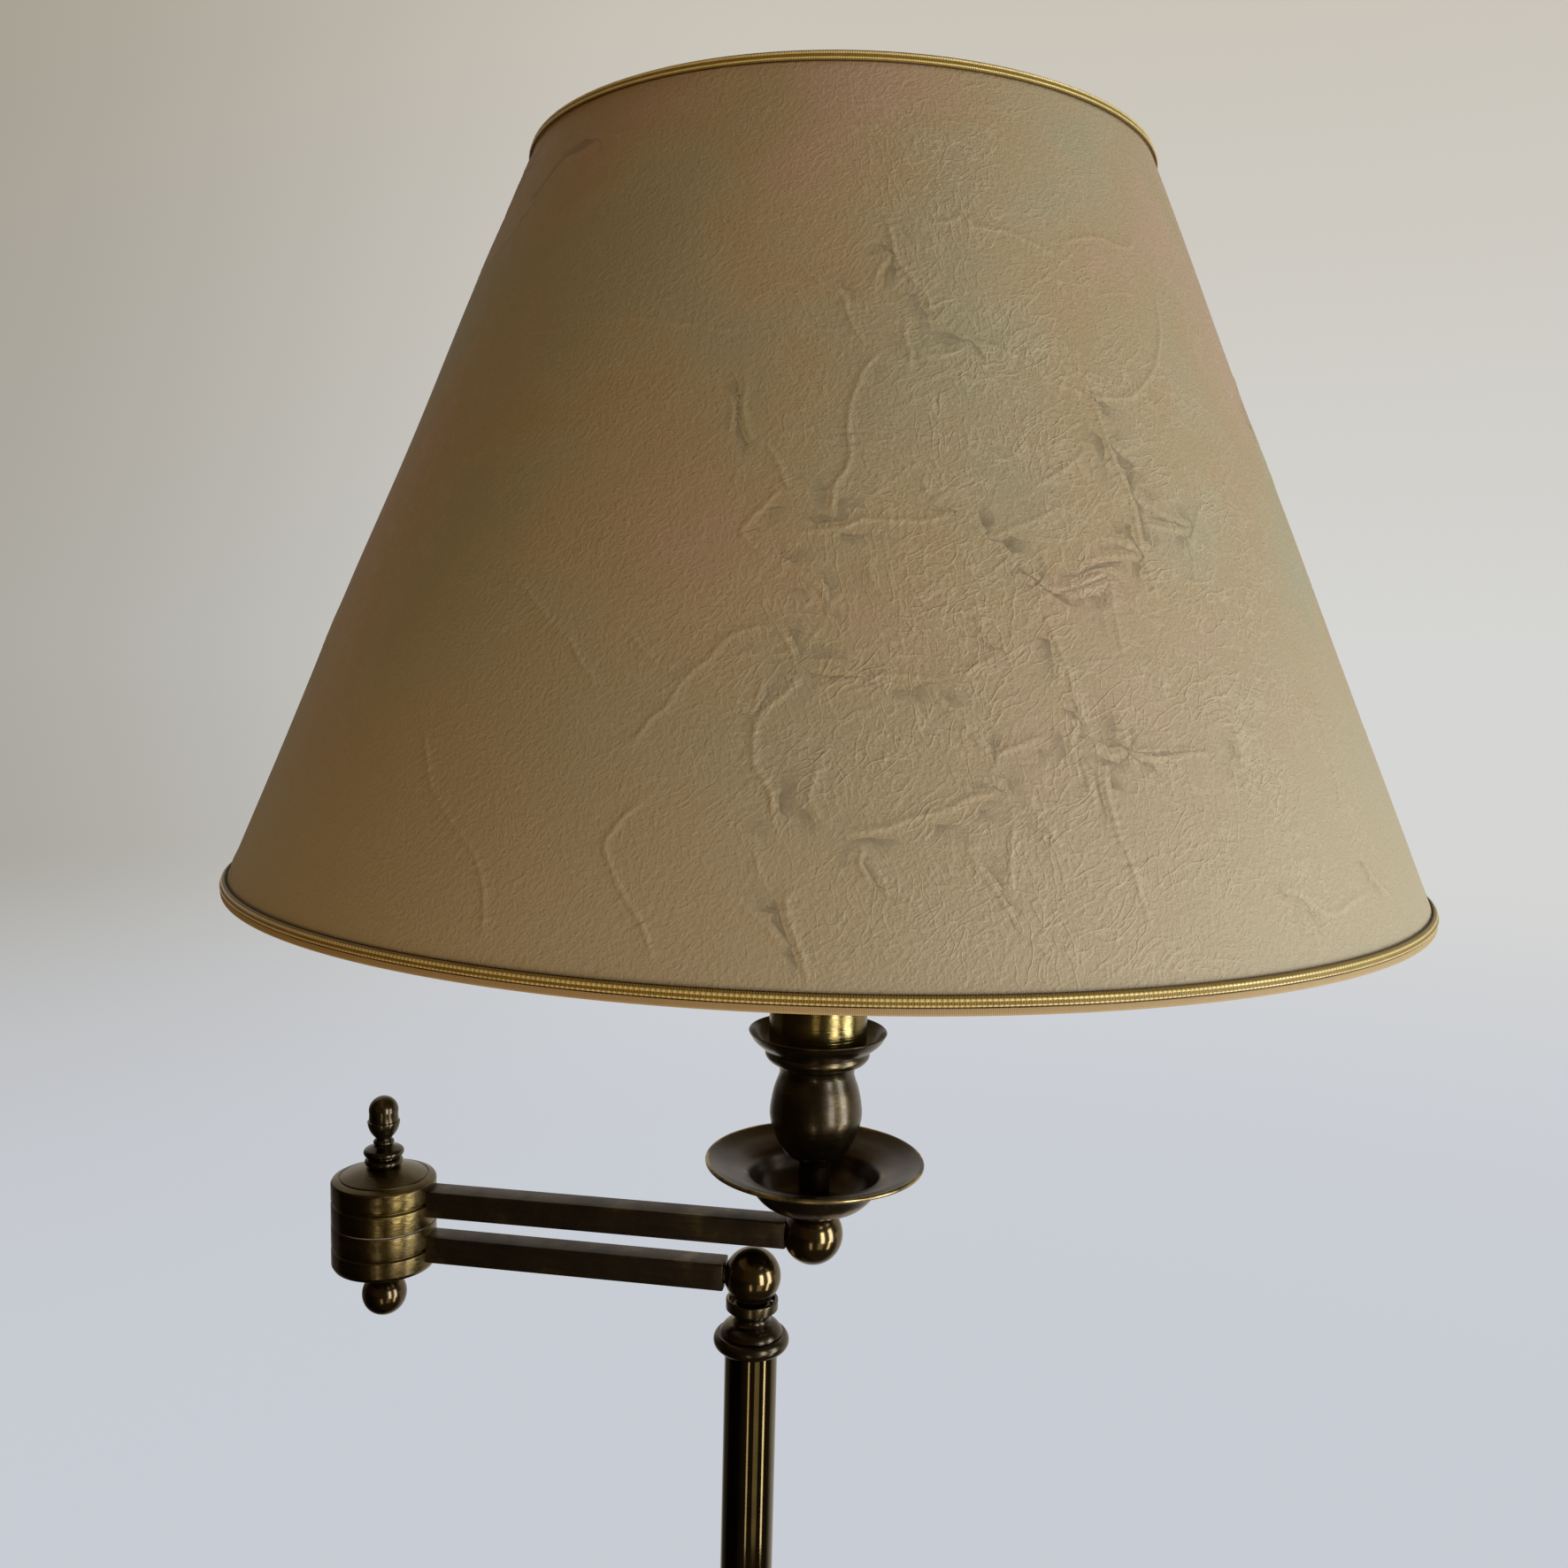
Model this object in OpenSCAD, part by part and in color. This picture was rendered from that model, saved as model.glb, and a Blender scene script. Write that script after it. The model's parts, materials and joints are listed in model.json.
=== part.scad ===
// Bridge floor lamp: a weighted base, a brass pole, two square arms that fold over each other, a
// candle in a drip dish, and a cone shade of parchment bound with braid.
// Every dimension is in millimetres. Z is up, and the origin is under the pole at floor level.

/* [Base] */
// Diameter of the base cover
base_d = 280; // [270:5:320]
// Height of the rim of the base cover
rim_h = 18; // [18:0.5:20]
// Height of the dome above the floor
dome_h = 40; // [39:1:44]
// Thickness of the felt pad
felt_t = 3; // [2.5:0.5:3.5]
// Wall of the spun base cover
cover_t = 1.2; // [0.8:0.1:1.6]
// Diameter of the bore that the cord enters by
cord_bore_d = 7; // [6:0.5:8]

/* [Pole] */
// Outer diameter of the pole tube
pole_d = 22; // [22:0.1:23]
// Wall of the pole tube
pole_wall = 1.5; // [1.2:0.1:1.6]
// Height of the coupling between the two pole tubes
coupling_z = 530; // [400:10:700]
// Height of the lower arm's centreline above the floor
arm_z = 1040; // [940:10:1140]

/* [Arms] */
// Side of the square arm tube
arm_s = 11.3; // [11:0.1:12]
// Wall of the square arm tube
arm_wall = 1.4; // [1:0.1:1.4]
// Lower arm, pole axis to elbow axis
lower_l = 162.5; // [150:0.5:200]
// Upper arm, elbow axis to candle axis
upper_l = 187; // [180:0.5:230]
// Height of the upper arm's centreline above the lower one's
arm_step = 20; // [20:0.5:21]
// Direction of the lower arm as stored
swing = 170.7; // [0:0.1:360]
// Opening between the arms as stored
fold = 0.4; // [0:0.1:20]
// Radius of the ball on the pole
pole_ball_r = 11.8; // [11.6:0.1:12]
// Radius of the ball under the candle
end_ball_r = 12.5; // [12.4:0.1:12.7]

/* [Elbow] */
// Radius of the elbow drum
drum_r = 22.1; // [21.5:0.1:23]
// Height of each half of the drum
drum_h = 20; // [20:0.5:20.5]
// Radius of the ball nut under the drum
ball_nut_r = 9.5; // [9:0.1:10]

/* [Candle] */
// Radius of the candle sleeve
sleeve_r = 19.9; // [19.7:0.1:20]
// Height of the top of the candle sleeve above the upper arm
sleeve_top = 162; // [162:1:164]

/* [Shade] */
// Outer diameter of the paper at its bottom edge
shade_bottom_d = 448.6; // [430:1:460]
// Outer diameter of the paper at its top edge
shade_top_d = 229.8; // [225:0.2:240]
// Height of the shade
shade_h = 267.3; // [266:0.1:272]
// Bottom edge of the shade above the upper arm
shade_rise = 152.8; // [150:0.1:154]
// Thickness of the parchment
paper_t = 0.8; // [0.6:0.1:1]
// Radius of the wire of the shade's two rings
ring_wire_r = 1.6; // [1.4:0.1:1.8]

/* [Hidden] */
$fn = 96;

// Colours
antique = "#5b4a2c";
dark_brass = "#4a3a20";
brushed = "#8a7440";
raw_brass = "#b59a55";
steel = "#9b9c9e";
black = "#1c1c1d";
parchment = "#b9a47c";
gold = "#b79b45";
tape = "#b59a6c";

// Clearance of a fixed fit and of a turning fit, and how far a cut runs past a face
fixed_gap = 0.02;
turning_gap = 0.06;
cut = 1;

// Thread and bore radii
m10_r = 5;
m10_bore_r = 3.4;
nipple_r = 4.1;
nipple_bore_r = 2.9;
bolt_r = 3;
pole_r = pole_d / 2;
spigot_r = pole_r - pole_wall - 0.05;

// The bead that the collar, the coupling and the pole cap share
bead_ring_r = 12.1;
bead_r = 3.7;
bead_half = 3.1;

// Levels in the base
rim_r = base_d / 2;
dome_flat_r = 28;
dome_r = 0.74 * rim_r;
step_r = 0.8 * rim_r;
step_top_z = dome_h - 14;
weight_rim_z = rim_h - 3;
weight_step_z = weight_rim_z + 9;
washer_top_z = felt_t + 10;
cord_z = 9.5;
collar_top_z = dome_h + 23.6;

// Levels at the pole cap
bead_z = arm_z - 27.3;
bell_z = arm_z - 23.6;
ring_low_z = arm_z - 13.6;
ring_top_z = arm_z - 9.6;
recess_z = arm_z - 12.6;
boss_z = arm_z - 11.8;
thrust_z = arm_z - 42;
spigot_low_z = arm_z - 60;
pole_stop_r = 8.3;

// Levels and sizes at the elbow
upper_z = arm_z + arm_step;
mid_z = arm_z + arm_step / 2;
friction_t = 0.4;
drum_low_z = mid_z - drum_h;
drum_top_z = mid_z + drum_h;
drum_plate_z = drum_top_z + 0.7;
dome_rise = 3.8;
seat_r = 6.7;
spool_z = drum_plate_z + 1.2;
acorn_z = drum_plate_z + 12.7;
chamber_r = 17.5;
hub_r = 6.5;
ball_nut_z = drum_low_z - 13.2;
elbow_stop_r = 14.5;
elbow_pin_a = 120;
// The upper arm turns 180 degrees one way, and its pin and the stop take 12.5 degrees more
elbow_stop_a = 192.5;

// Levels at the candle
dish_ring_z = upper_z + 9;
dish_z = upper_z + 11.4;
dish_t = 1.4;
cup_z = upper_z + 30;
stem_r = 6.4;
cup_foot_h = 2.4;
sleeve_z = cup_z + 45.4;
plate_z = upper_z + sleeve_top;
plate_t = 1.6;
holder_z = plate_z - 56;
skirt_z = plate_z - 30;
holder_top_z = plate_z + 14;
block_z = plate_z - 44;
bulb_z = plate_z - 31;
bulb_neck_z = bulb_z + 26;
harp_w = 50;
harp_foot_r = 26;
harp_wire_r = 1.9;
harp_top_z = plate_z + 232;

// The shade
shade_z = upper_z + shade_rise;
shade_top_z = shade_z + shade_h;
shade_lean = atan((shade_bottom_d - shade_top_d) / 2 / shade_h);
tape_t = 0.5;
hub_z = harp_top_z + 4;

// Plan positions of the elbow and the candle
elbow_p = lower_l * [cos(swing), sin(swing)];
upper_dir = swing + 180 + fold;
candle_p = elbow_p + upper_l * [cos(upper_dir), sin(upper_dir)];

// Point of the shade's section at a height, and at a distance out from the face of the paper
function on_cone(z, out) = [
    (shade_bottom_d + (shade_top_d - shade_bottom_d) * (z - shade_z) / shade_h) / 2 + out / cos(shade_lean),
    z
];

// Smooth outline through points chosen by hand: a cubic between each two, cut into steps
function cubic(a, b, c, d, t) = 0.5 * (
    2 * b + (c - a) * t
    + (2 * a - 5 * b + 4 * c - d) * t * t
    + (3 * b - a - 3 * c + d) * t * t * t
);
function smooth(p, steps = 3) = let (n = len(p) - 1) [
    for (i = [0 : n - 1], s = [0 : steps - 1])
        cubic(p[max(i - 1, 0)], p[i], p[i + 1], p[min(i + 2, n)], s / steps),
    p[n]
];

// Solid of revolution from a profile whose X is the radius and whose Y is the height
module turned(z = 0) {
    translate([0, 0, z]) rotate_extrude() intersection() {
        union() children();
        translate([0, -1500]) square([400, 4000]);
    }
}

module tube(r, bore_r, z0, z1) {
    translate([0, 0, z0]) difference() {
        cylinder(r = r, h = z1 - z0);
        translate([0, 0, -cut]) cylinder(r = bore_r, h = z1 - z0 + 2 * cut);
    }
}

module bore(r, z0, z1) {
    translate([0, 0, z0]) cylinder(r = r, h = z1 - z0);
}

module hex_nut(across, bore_r, z0, h) {
    translate([0, 0, z0]) difference() {
        cylinder(r = across / 2 / cos(30), h = h, $fn = 6);
        translate([0, 0, -cut]) cylinder(r = bore_r, h = h + 2 * cut);
    }
}

module band(x0, x1, z0, z1) {
    translate([x0, z0]) square([x1 - x0, z1 - z0]);
}

module round_at(x, z, r) {
    translate([x, z]) circle(r = r);
}

module along_x(x0, x1, r) {
    translate([x0, 0, 0]) rotate([0, 90, 0]) cylinder(r = r, h = x1 - x0);
}

module at_elbow(z = 0, a = 0) {
    translate([elbow_p[0], elbow_p[1], z]) rotate(a) children();
}

module at_candle(z = 0, a = 0) {
    translate([candle_p[0], candle_p[1], z]) rotate(a) children();
}

// Profile of the round bead, flat where the pole tube meets it
module bead(z) {
    intersection() {
        round_at(bead_ring_r, z, bead_r);
        band(0, 2 * pole_r, z - bead_half, z + bead_half);
    }
    band(0, pole_r + 0.4, z - bead_half, z + bead_half);
}

// ---------------------------------------------------------------- base

// Profile of the base cover, drawn in by d for its inner face
module base_outline(d) {
    edge_z = dome_h - 12;
    sphere_z = (dome_h * dome_h - edge_z * edge_z + dome_flat_r * dome_flat_r - dome_r * dome_r)
        / (2 * (dome_h - edge_z));
    sphere_r = sqrt(dome_flat_r * dome_flat_r + (dome_h - sphere_z) * (dome_h - sphere_z));
    band(0, rim_r - d, -cut, rim_h - 5);
    round_at(rim_r - 5.1, rim_h - 5.1, 5 - d);
    band(0, rim_r - 5, 0, rim_h - d);
    band(0, step_r - d, 0, step_top_z - 3);
    round_at(step_r - 3.1, step_top_z - 3.1, 3 - d);
    band(0, step_r - 3, 0, step_top_z - d);
    intersection() {
        round_at(0, sphere_z, sphere_r - d);
        band(0, dome_r - d, 0, dome_h - d);
    }
}

module felt_pad() {
    color("#2f3a2e") cylinder(r = rim_r - cover_t - 0.5, h = felt_t);
}

// Cast in one piece, with a recess for the nut and a channel for the cord underneath
module base_weight() {
    color("#2b2b2d") difference() {
        turned() {
            band(0, rim_r - 9, felt_t, weight_rim_z);
            band(0, dome_r + 2, felt_t, weight_step_z);
            band(0, 22, felt_t, dome_h - cover_t);
        }
        bore(20, felt_t - cut, washer_top_z);
        bore(m10_r + 0.3, 0, dome_h);
        translate([-4.5, 0, felt_t - cut]) cube([9, rim_r, 10.5 + cut]);
    }
}

module base_cover() {
    color(antique) difference() {
        turned() difference() {
            intersection() {
                base_outline(0);
                band(0, base_d, felt_t / 2, dome_h + cut);
            }
            base_outline(cover_t);
        }
        bore(m10_r + 0.3, dome_h - cover_t - cut, dome_h + cut);
        translate([0, rim_r - 10, cord_z]) rotate([-90, 0, 0]) cylinder(r = 5, h = 20);
    }
}

module cord_bush() {
    color(black) translate([0, rim_r, cord_z]) rotate([-90, 0, 0]) difference() {
        union() {
            bore(5 - fixed_gap, -8, 1);
            bore(6, 0.2, 2);
        }
        bore(cord_bore_d / 2, -9, 3);
    }
}

module base_nipple() {
    color(raw_brass) tube(m10_r, m10_bore_r, felt_t + 0.5, collar_top_z + 14);
}

module base_nut() {
    color(steel) hex_nut(17, m10_r, felt_t + 1, 7);
}

module base_washer() {
    color(steel) tube(15, m10_r + 0.3, felt_t + 8, washer_top_z);
}

module base_collar() {
    foot_r = 27;
    cove_r = 13.5;
    color(antique) difference() {
        turned() {
            intersection() {
                round_at(foot_r - 3, dome_h + 2.8, 3);
                band(0, foot_r, dome_h, dome_h + 6);
            }
            band(0, foot_r - 3, dome_h, dome_h + 5.6);
            difference() {
                band(0, foot_r - 4, dome_h, dome_h + 17);
                round_at(26.5, dome_h + 18.5, cove_r);
            }
            band(0, 14.6, dome_h + 16.4, dome_h + 18.2);
            bead(collar_top_z - bead_half);
            band(0, spigot_r, dome_h, collar_top_z + 20);
        }
        bore(m10_r + fixed_gap, dome_h - cut, collar_top_z + 20 + cut);
    }
}

// ---------------------------------------------------------------- pole

module pole_lower() {
    color(dark_brass) tube(pole_r, pole_r - pole_wall, collar_top_z, coupling_z - bead_half);
}

module pole_coupling() {
    color(antique) difference() {
        turned() {
            bead(coupling_z);
            band(0, spigot_r, coupling_z - 28, coupling_z + 28);
        }
        bore(spigot_r - 2.4, coupling_z - 28 - cut, coupling_z + 28 + cut);
    }
}

module pole_upper() {
    color(dark_brass) tube(pole_r, pole_r - pole_wall, coupling_z + bead_half, bead_z - bead_half);
}

// Bead, bell, neck and the recessed ring that the ball turns in, on a spigot in the pole tube
module pole_cap() {
    color(antique) difference() {
        turned() {
            bead(bead_z);
            band(0, 12.6, bell_z - 0.7, bell_z + 0.3);
            intersection() {
                round_at(6.4, arm_z - 26.1, 7.1);
                band(0, 20, bell_z, arm_z);
            }
            band(0, 7.4, bead_z, ring_low_z);
            polygon([[0, arm_z - 16.2], [7.8, arm_z - 16.2], [10.9, ring_low_z], [0, ring_low_z]]);
            difference() {
                band(0, 10.9, ring_low_z - 0.01, ring_top_z);
                band(0, 9.6, recess_z, ring_top_z + cut);
            }
            band(0, spigot_r, spigot_low_z, bead_z);
        }
        bore(m10_r + turning_gap, thrust_z - cut, arm_z);
        bore(8.2, spigot_low_z - cut, thrust_z);
        rotate(swing + 180) translate([pole_stop_r, 0, recess_z - 0.8]) cylinder(r = 0.8, h = 5, $fn = 48);
    }
}

module pole_stop_pin() {
    color(steel) rotate(swing + 180) translate([pole_stop_r, 0, recess_z - 0.8]) cylinder(r = 0.8, h = 3.2, $fn = 48);
}

module swivel_washer() {
    color("#d8d4c4") tube(7.2, m10_r + turning_gap, recess_z, boss_z);
}

// ---------------------------------------------------------------- lower arm

// Ball with a foot that turns in the cap's ring, and a lug that meets the stop pin
module pole_ball() {
    color(brushed) translate([0, 0, arm_z]) rotate(swing) difference() {
        union() {
            sphere(r = pole_ball_r);
            bore(6.7, boss_z - arm_z, -6);
            translate([6, -1, boss_z - arm_z + 0.2]) cube([3.2, 2, 1.7]);
        }
        bore(m10_r + fixed_gap, -20, 4);
        along_x(0, pole_ball_r + cut, nipple_r + fixed_gap);
    }
}

module pole_pivot() {
    color(raw_brass) tube(m10_r, m10_bore_r, arm_z - 54, arm_z - 2);
}

module pivot_spring() {
    color(steel) tube(7.6, m10_r + fixed_gap, thrust_z - 2, thrust_z);
}

module pivot_nut() {
    color(steel) hex_nut(13.6, m10_r, thrust_z - 8, 6);
}

// Square tube from x = 0 to the length, less the ball at one end and the drum at the other
module arm(length, ball_x, ball_r, drum_x) {
    inner = arm_s - 2 * arm_wall;
    difference() {
        translate([0, -arm_s / 2, -arm_s / 2]) cube([length, arm_s, arm_s]);
        translate([-cut, -inner / 2, -inner / 2]) cube([length + 2 * cut, inner, inner]);
        translate([ball_x, 0, 0]) sphere(r = ball_r);
        translate([drum_x, 0, -arm_s]) cylinder(r = drum_r, h = 2 * arm_s);
    }
}

// Hollow nipples that hold an arm to its ball and to its drum
module nipples(ball_x, drum_x) {
    for (x = [[ball_x, ball_x + 17], [drum_x - 15, drum_x]]) difference() {
        along_x(x[0], x[1], nipple_r);
        along_x(x[0] - cut, x[1] + cut, nipple_bore_r);
    }
}

module lower_arm() {
    color(antique) translate([0, 0, arm_z]) rotate(swing) arm(lower_l, 0, pole_ball_r, lower_l);
}

module lower_arm_nipples() {
    color(raw_brass) translate([0, 0, arm_z]) rotate(swing) nipples(6, lower_l - chamber_r + 1);
}

// Sharp groove turned round the drum
module drum_groove(z) {
    polygon([[drum_r - 1.1, z], [drum_r + 0.2, z + 1], [drum_r + 0.2, z - 1]]);
}

module elbow_lower() {
    top_z = mid_z - friction_t / 2;
    color(brushed) at_elbow(0, swing + 180) difference() {
        union() {
            turned() difference() {
                polygon([
                    [0, drum_low_z], [drum_r - 2.6, drum_low_z], [drum_r - 0.8, drum_low_z + 0.8],
                    [drum_r, drum_low_z + 2.4], [drum_r, top_z], [0, top_z]
                ]);
                band(hub_r, chamber_r, drum_low_z + 4, top_z + cut);
                drum_groove(arm_z);
            }
            // the stop that the pin of the upper half meets
            rotate(fold + elbow_pin_a + elbow_stop_a) translate([12.8, -1.5, drum_low_z + 3])
                cube([5.5, 3, drum_h - 5]);
        }
        bore(bolt_r + fixed_gap, drum_low_z - cut, mid_z);
        translate([0, 0, arm_z]) along_x(chamber_r - 2, drum_r + cut, nipple_r + fixed_gap);
    }
}

module elbow_bolt() {
    color(steel) at_elbow() bore(bolt_r, ball_nut_z - 2, acorn_z + 12);
}

module ball_nut() {
    color(brushed) at_elbow() difference() {
        union() {
            translate([0, 0, ball_nut_z]) sphere(r = ball_nut_r);
            bore(5.5, ball_nut_z + 5, drum_low_z);
        }
        bore(bolt_r, ball_nut_z - 2, drum_low_z + cut);
    }
}

module elbow_washer() {
    color("#d8d4c4") at_elbow() tube(drum_r - 0.7, chamber_r + 0.1, mid_z - friction_t / 2, mid_z + friction_t / 2);
}

module elbow_spring() {
    color(steel) at_elbow() tube(6.4, bolt_r + fixed_gap, drum_plate_z, spool_z);
}

module finial_spool() {
    color(antique) at_elbow() difference() {
        turned() {
            round_at(6.45, drum_plate_z + 5.3, 1.6);
            round_at(6.95, drum_plate_z + 9.4, 1.55);
            band(0, 6.1, spool_z, drum_plate_z + 10.3);
            polygon([
                [0, drum_plate_z + 9.8], [7.7, drum_plate_z + 10.5], [4.4, drum_plate_z + 12],
                [3.9, acorn_z], [0, acorn_z]
            ]);
        }
        bore(bolt_r + fixed_gap, spool_z - cut, acorn_z + cut);
    }
}

module acorn_finial() {
    rim_z = acorn_z + 10.1;
    color(antique) at_elbow() difference() {
        turned() {
            band(0, 3.6, acorn_z, acorn_z + 3);
            round_at(3.4, acorn_z + 1.1, 1);
            intersection() {
                round_at(-3.2, rim_z + 0.5, 10);
                band(0, 10, acorn_z + 2, rim_z);
            }
            band(0, 6.1, rim_z - cut, rim_z + 5);
            round_at(0, rim_z + 4.8, 6.2);
        }
        bore(bolt_r, acorn_z - cut, acorn_z + 12);
    }
}

// ---------------------------------------------------------------- upper arm

module elbow_upper() {
    low_z = mid_z + friction_t / 2;
    // the top rises to the spool, round a sunk seat for the spring washer
    dome = [
        [18.2, drum_top_z], [14.5, drum_top_z + 1.5], [10.5, drum_top_z + 2.9], [7.2, drum_top_z + dome_rise]
    ];
    color(brushed) at_elbow(0, upper_dir) difference() {
        turned() difference() {
            polygon(concat(
                [
                    [0, low_z], [drum_r, low_z], [drum_r, drum_top_z - 2.2],
                    [drum_r - 0.6, drum_top_z - 1.2], [18.9, drum_top_z - 0.2],
                    [18.7, drum_top_z - 0.6], [18.3, drum_top_z - 0.6]
                ],
                smooth(dome),
                [[seat_r, drum_top_z + dome_rise], [seat_r, drum_plate_z], [0, drum_plate_z]]
            ));
            band(hub_r, chamber_r, low_z - cut, drum_top_z - 4);
            drum_groove(upper_z);
        }
        bore(bolt_r + turning_gap, low_z - cut, drum_top_z + 2);
        translate([0, 0, upper_z]) along_x(chamber_r - 2, drum_r + cut, nipple_r + fixed_gap);
        rotate(elbow_pin_a) translate([elbow_stop_r, 0, upper_z]) cylinder(r = 1.5, h = drum_h - 12, $fn = 48);
    }
}

module elbow_stop_pin() {
    color(steel) at_elbow(0, upper_dir + elbow_pin_a) translate([elbow_stop_r, 0, mid_z - 5])
        cylinder(r = 1.5, h = drum_h + 3, $fn = 48);
}

module upper_arm() {
    color(antique) at_elbow(upper_z, upper_dir) arm(upper_l, upper_l, end_ball_r, 0);
}

module upper_arm_nipples() {
    color(raw_brass) at_candle(upper_z, upper_dir + 180) nipples(6, upper_l - chamber_r + 1);
}

module end_ball() {
    color(brushed) at_candle(upper_z, upper_dir + 180) difference() {
        sphere(r = end_ball_r);
        bore(end_ball_r, dish_ring_z - upper_z, 2 * end_ball_r);
        bore(m10_r + fixed_gap, -6, end_ball_r);
        along_x(0, end_ball_r + cut, nipple_r + fixed_gap);
    }
}

module candle_nipple() {
    color(raw_brass) at_candle() difference() {
        bore(m10_r, upper_z - 6, holder_z + 8);
        bore(m10_bore_r, upper_z - 7, holder_z + 9);
        // side hole that lets the wires in from the arm
        translate([0, 0, upper_z]) rotate(upper_dir + 180) along_x(0, 6, nipple_r + 0.2);
    }
}

module dish_ring() {
    color(brushed) at_candle() tube(9.3, m10_r + fixed_gap, dish_ring_z, dish_z);
}

module drip_dish() {
    under = [
        [10, 0], [15, 0.5], [20, 2.4], [24.2, 6.2], [26.8, 10.6], [29, 13.7], [33, 15.6], [38.6, 17.3], [44.2, 19.3]
    ];
    inside = [
        [44, 20.9], [38.2, 18.8], [32.2, 17.2], [27.4, 15.2], [25, 11.4], [22.6, 7.2], [19, 3.8], [14.6, 1.9], [10, dish_t]
    ];
    color(antique) at_candle(dish_z) difference() {
        turned() {
            polygon(concat([[0, 0]], smooth(under), smooth(inside), [[0, dish_t]]));
            round_at(43.95, 20, 0.9);
        }
        bore(m10_r + fixed_gap, -cut, 4);
    }
}

module dish_stem() {
    color(antique) at_candle() tube(stem_r, m10_r + fixed_gap, dish_z + dish_t, cup_z);
}

// Urn on a short foot, quarter-round ring and flared lip, hollow inside, with a seat for the sleeve
module candle_cup() {
    urn = [
        [8, cup_foot_h], [12.2, 5], [15.6, 10.2], [18.1, 16.8],
        [18.9, 22.6], [17.5, 31.2], [15.3, 37.9], [15.9, 41.4]
    ];
    ring = [[16.4, 42.3], [19.6, 43.7], [21.3, 46], [21, 47.9]];
    lip = [[21.7, 48.5], [24, 50.3], [26.4, 52.6], [28.2, 55.7]];
    throat = [[27.3, 55.4], [25.2, 52.4], [22.6, 50.2], [20.2, 49.2]];
    color(antique) at_candle(cup_z) difference() {
        turned() polygon(concat(
            [[0, 0], [stem_r, 0], [stem_r, cup_foot_h]],
            smooth(urn), smooth(ring), smooth(lip), [[27.8, 56.1]], smooth(throat), [[0, 49.2]]
        ));
        bore(m10_r + fixed_gap, -cut, 9);
        bore(9, 8, 14);
        bore(12, 14, 46);
        bore(sleeve_r + 0.05, sleeve_z - cup_z, 60);
    }
}

module cup_nut() {
    color(steel) at_candle() hex_nut(14, m10_r, cup_z + 8, 5);
}

module candle_sleeve() {
    color(brushed) at_candle() tube(sleeve_r, sleeve_r - 1, sleeve_z, plate_z);
}

// ---------------------------------------------------------------- lampholder and bulb

module lampholder_cap() {
    color(black) at_candle() difference() {
        turned() polygon([
            [0, holder_z], [9, holder_z], [17.2, holder_z + 8], [17.2, skirt_z], [0, skirt_z]
        ]);
        bore(m10_r + fixed_gap, holder_z - cut, holder_z + 4);
        bore(10, holder_z + 3, block_z);
        bore(15.7, block_z, skirt_z + cut);
    }
}

module holder_nut() {
    color(steel) at_candle() hex_nut(14, m10_r, holder_z + 3, 4);
}

module lampholder_skirt() {
    color(black) at_candle() difference() {
        turned() {
            band(0, 17.2, skirt_z, skirt_z + 20);
            band(0, 18.4, skirt_z + 18, holder_top_z);
        }
        bore(16, skirt_z - cut, holder_top_z + cut);
    }
}

module contact_block() {
    color("#e6e2d6") at_candle() {
        bore(15.6, block_z, bulb_z - 2);
        bore(4, bulb_z - 3, bulb_z);
    }
}

module socket_shell() {
    color(raw_brass) at_candle() tube(14, 13.4, bulb_z - 2, plate_z + 10);
}

module bulb_cap() {
    color(steel) at_candle() difference() {
        turned() polygon([
            [0, bulb_z], [5, bulb_z], [12.4, bulb_z + 4], [13.2, bulb_z + 5], [13.2, bulb_neck_z], [0, bulb_neck_z]
        ]);
        bore(12.6, bulb_z + 5, bulb_neck_z + cut);
    }
}

module bulb_glass() {
    bulb_h = 82;
    wall = 1;
    outline = [
        [12.9, 0], [13, 9], [13.1, 17], [17.6, 27], [24.5, 37], [29.2, 46], [30, 53], [28.6, 62], [23.6, 71.5],
        [15.6, 78.4], [7.4, 81.4], [0, bulb_h]
    ];
    inside = [
        for (p = outline) [max(p[0] - wall, 0), wall + p[1] * (bulb_h - 2 * wall) / bulb_h]
    ];
    color("#f4f1e6", 0.5) at_candle(bulb_neck_z) turned() difference() {
        polygon(concat([[0, 0]], smooth(outline)));
        polygon(concat([[0, wall]], smooth(inside)));
    }
}

// ---------------------------------------------------------------- harp

module harp_plate() {
    color(steel) at_candle() tube(29, 18.5, plate_z, plate_z + plate_t);
}

module shade_ring_nut() {
    color(black) at_candle() tube(23, 18.45, plate_z + plate_t, plate_z + plate_t + 6.4);
}

// Part of a ring of wire that stands on edge, from one angle to another
module wire_arc(x, z, ring_r, from, to) {
    translate([x, 0, z]) rotate([90, 0, 0]) rotate(from) rotate_extrude(angle = to - from)
        translate([ring_r, 0]) circle(r = harp_wire_r, $fn = 32);
}

module harp() {
    bend_r = (harp_w - harp_foot_r) / 2;
    bend_z = plate_z + 8;
    color(steel) at_candle() {
        wire_arc(0, harp_top_z - harp_w, harp_w, 0, 180);
        for (side = [0, 180]) rotate(side) {
            translate([harp_foot_r, 0, 0]) bore(harp_wire_r, plate_z + plate_t, bend_z);
            wire_arc(harp_foot_r + bend_r, bend_z, bend_r, 90, 180);
            wire_arc(harp_foot_r + bend_r, bend_z + 2 * bend_r, bend_r, -90, 0);
            translate([harp_w, 0, 0]) bore(harp_wire_r, bend_z + 2 * bend_r, harp_top_z - harp_w);
        }
    }
}

module harp_stud() {
    color(raw_brass) at_candle() difference() {
        union() {
            bore(5, harp_top_z - 4, hub_z);
            bore(bolt_r, hub_z - cut, hub_z + 13);
        }
        translate([0, 0, harp_top_z - harp_w]) rotate([90, 0, 0]) rotate(75) rotate_extrude(angle = 30)
            translate([harp_w, 0]) circle(r = harp_wire_r + fixed_gap, $fn = 32);
    }
}

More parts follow.
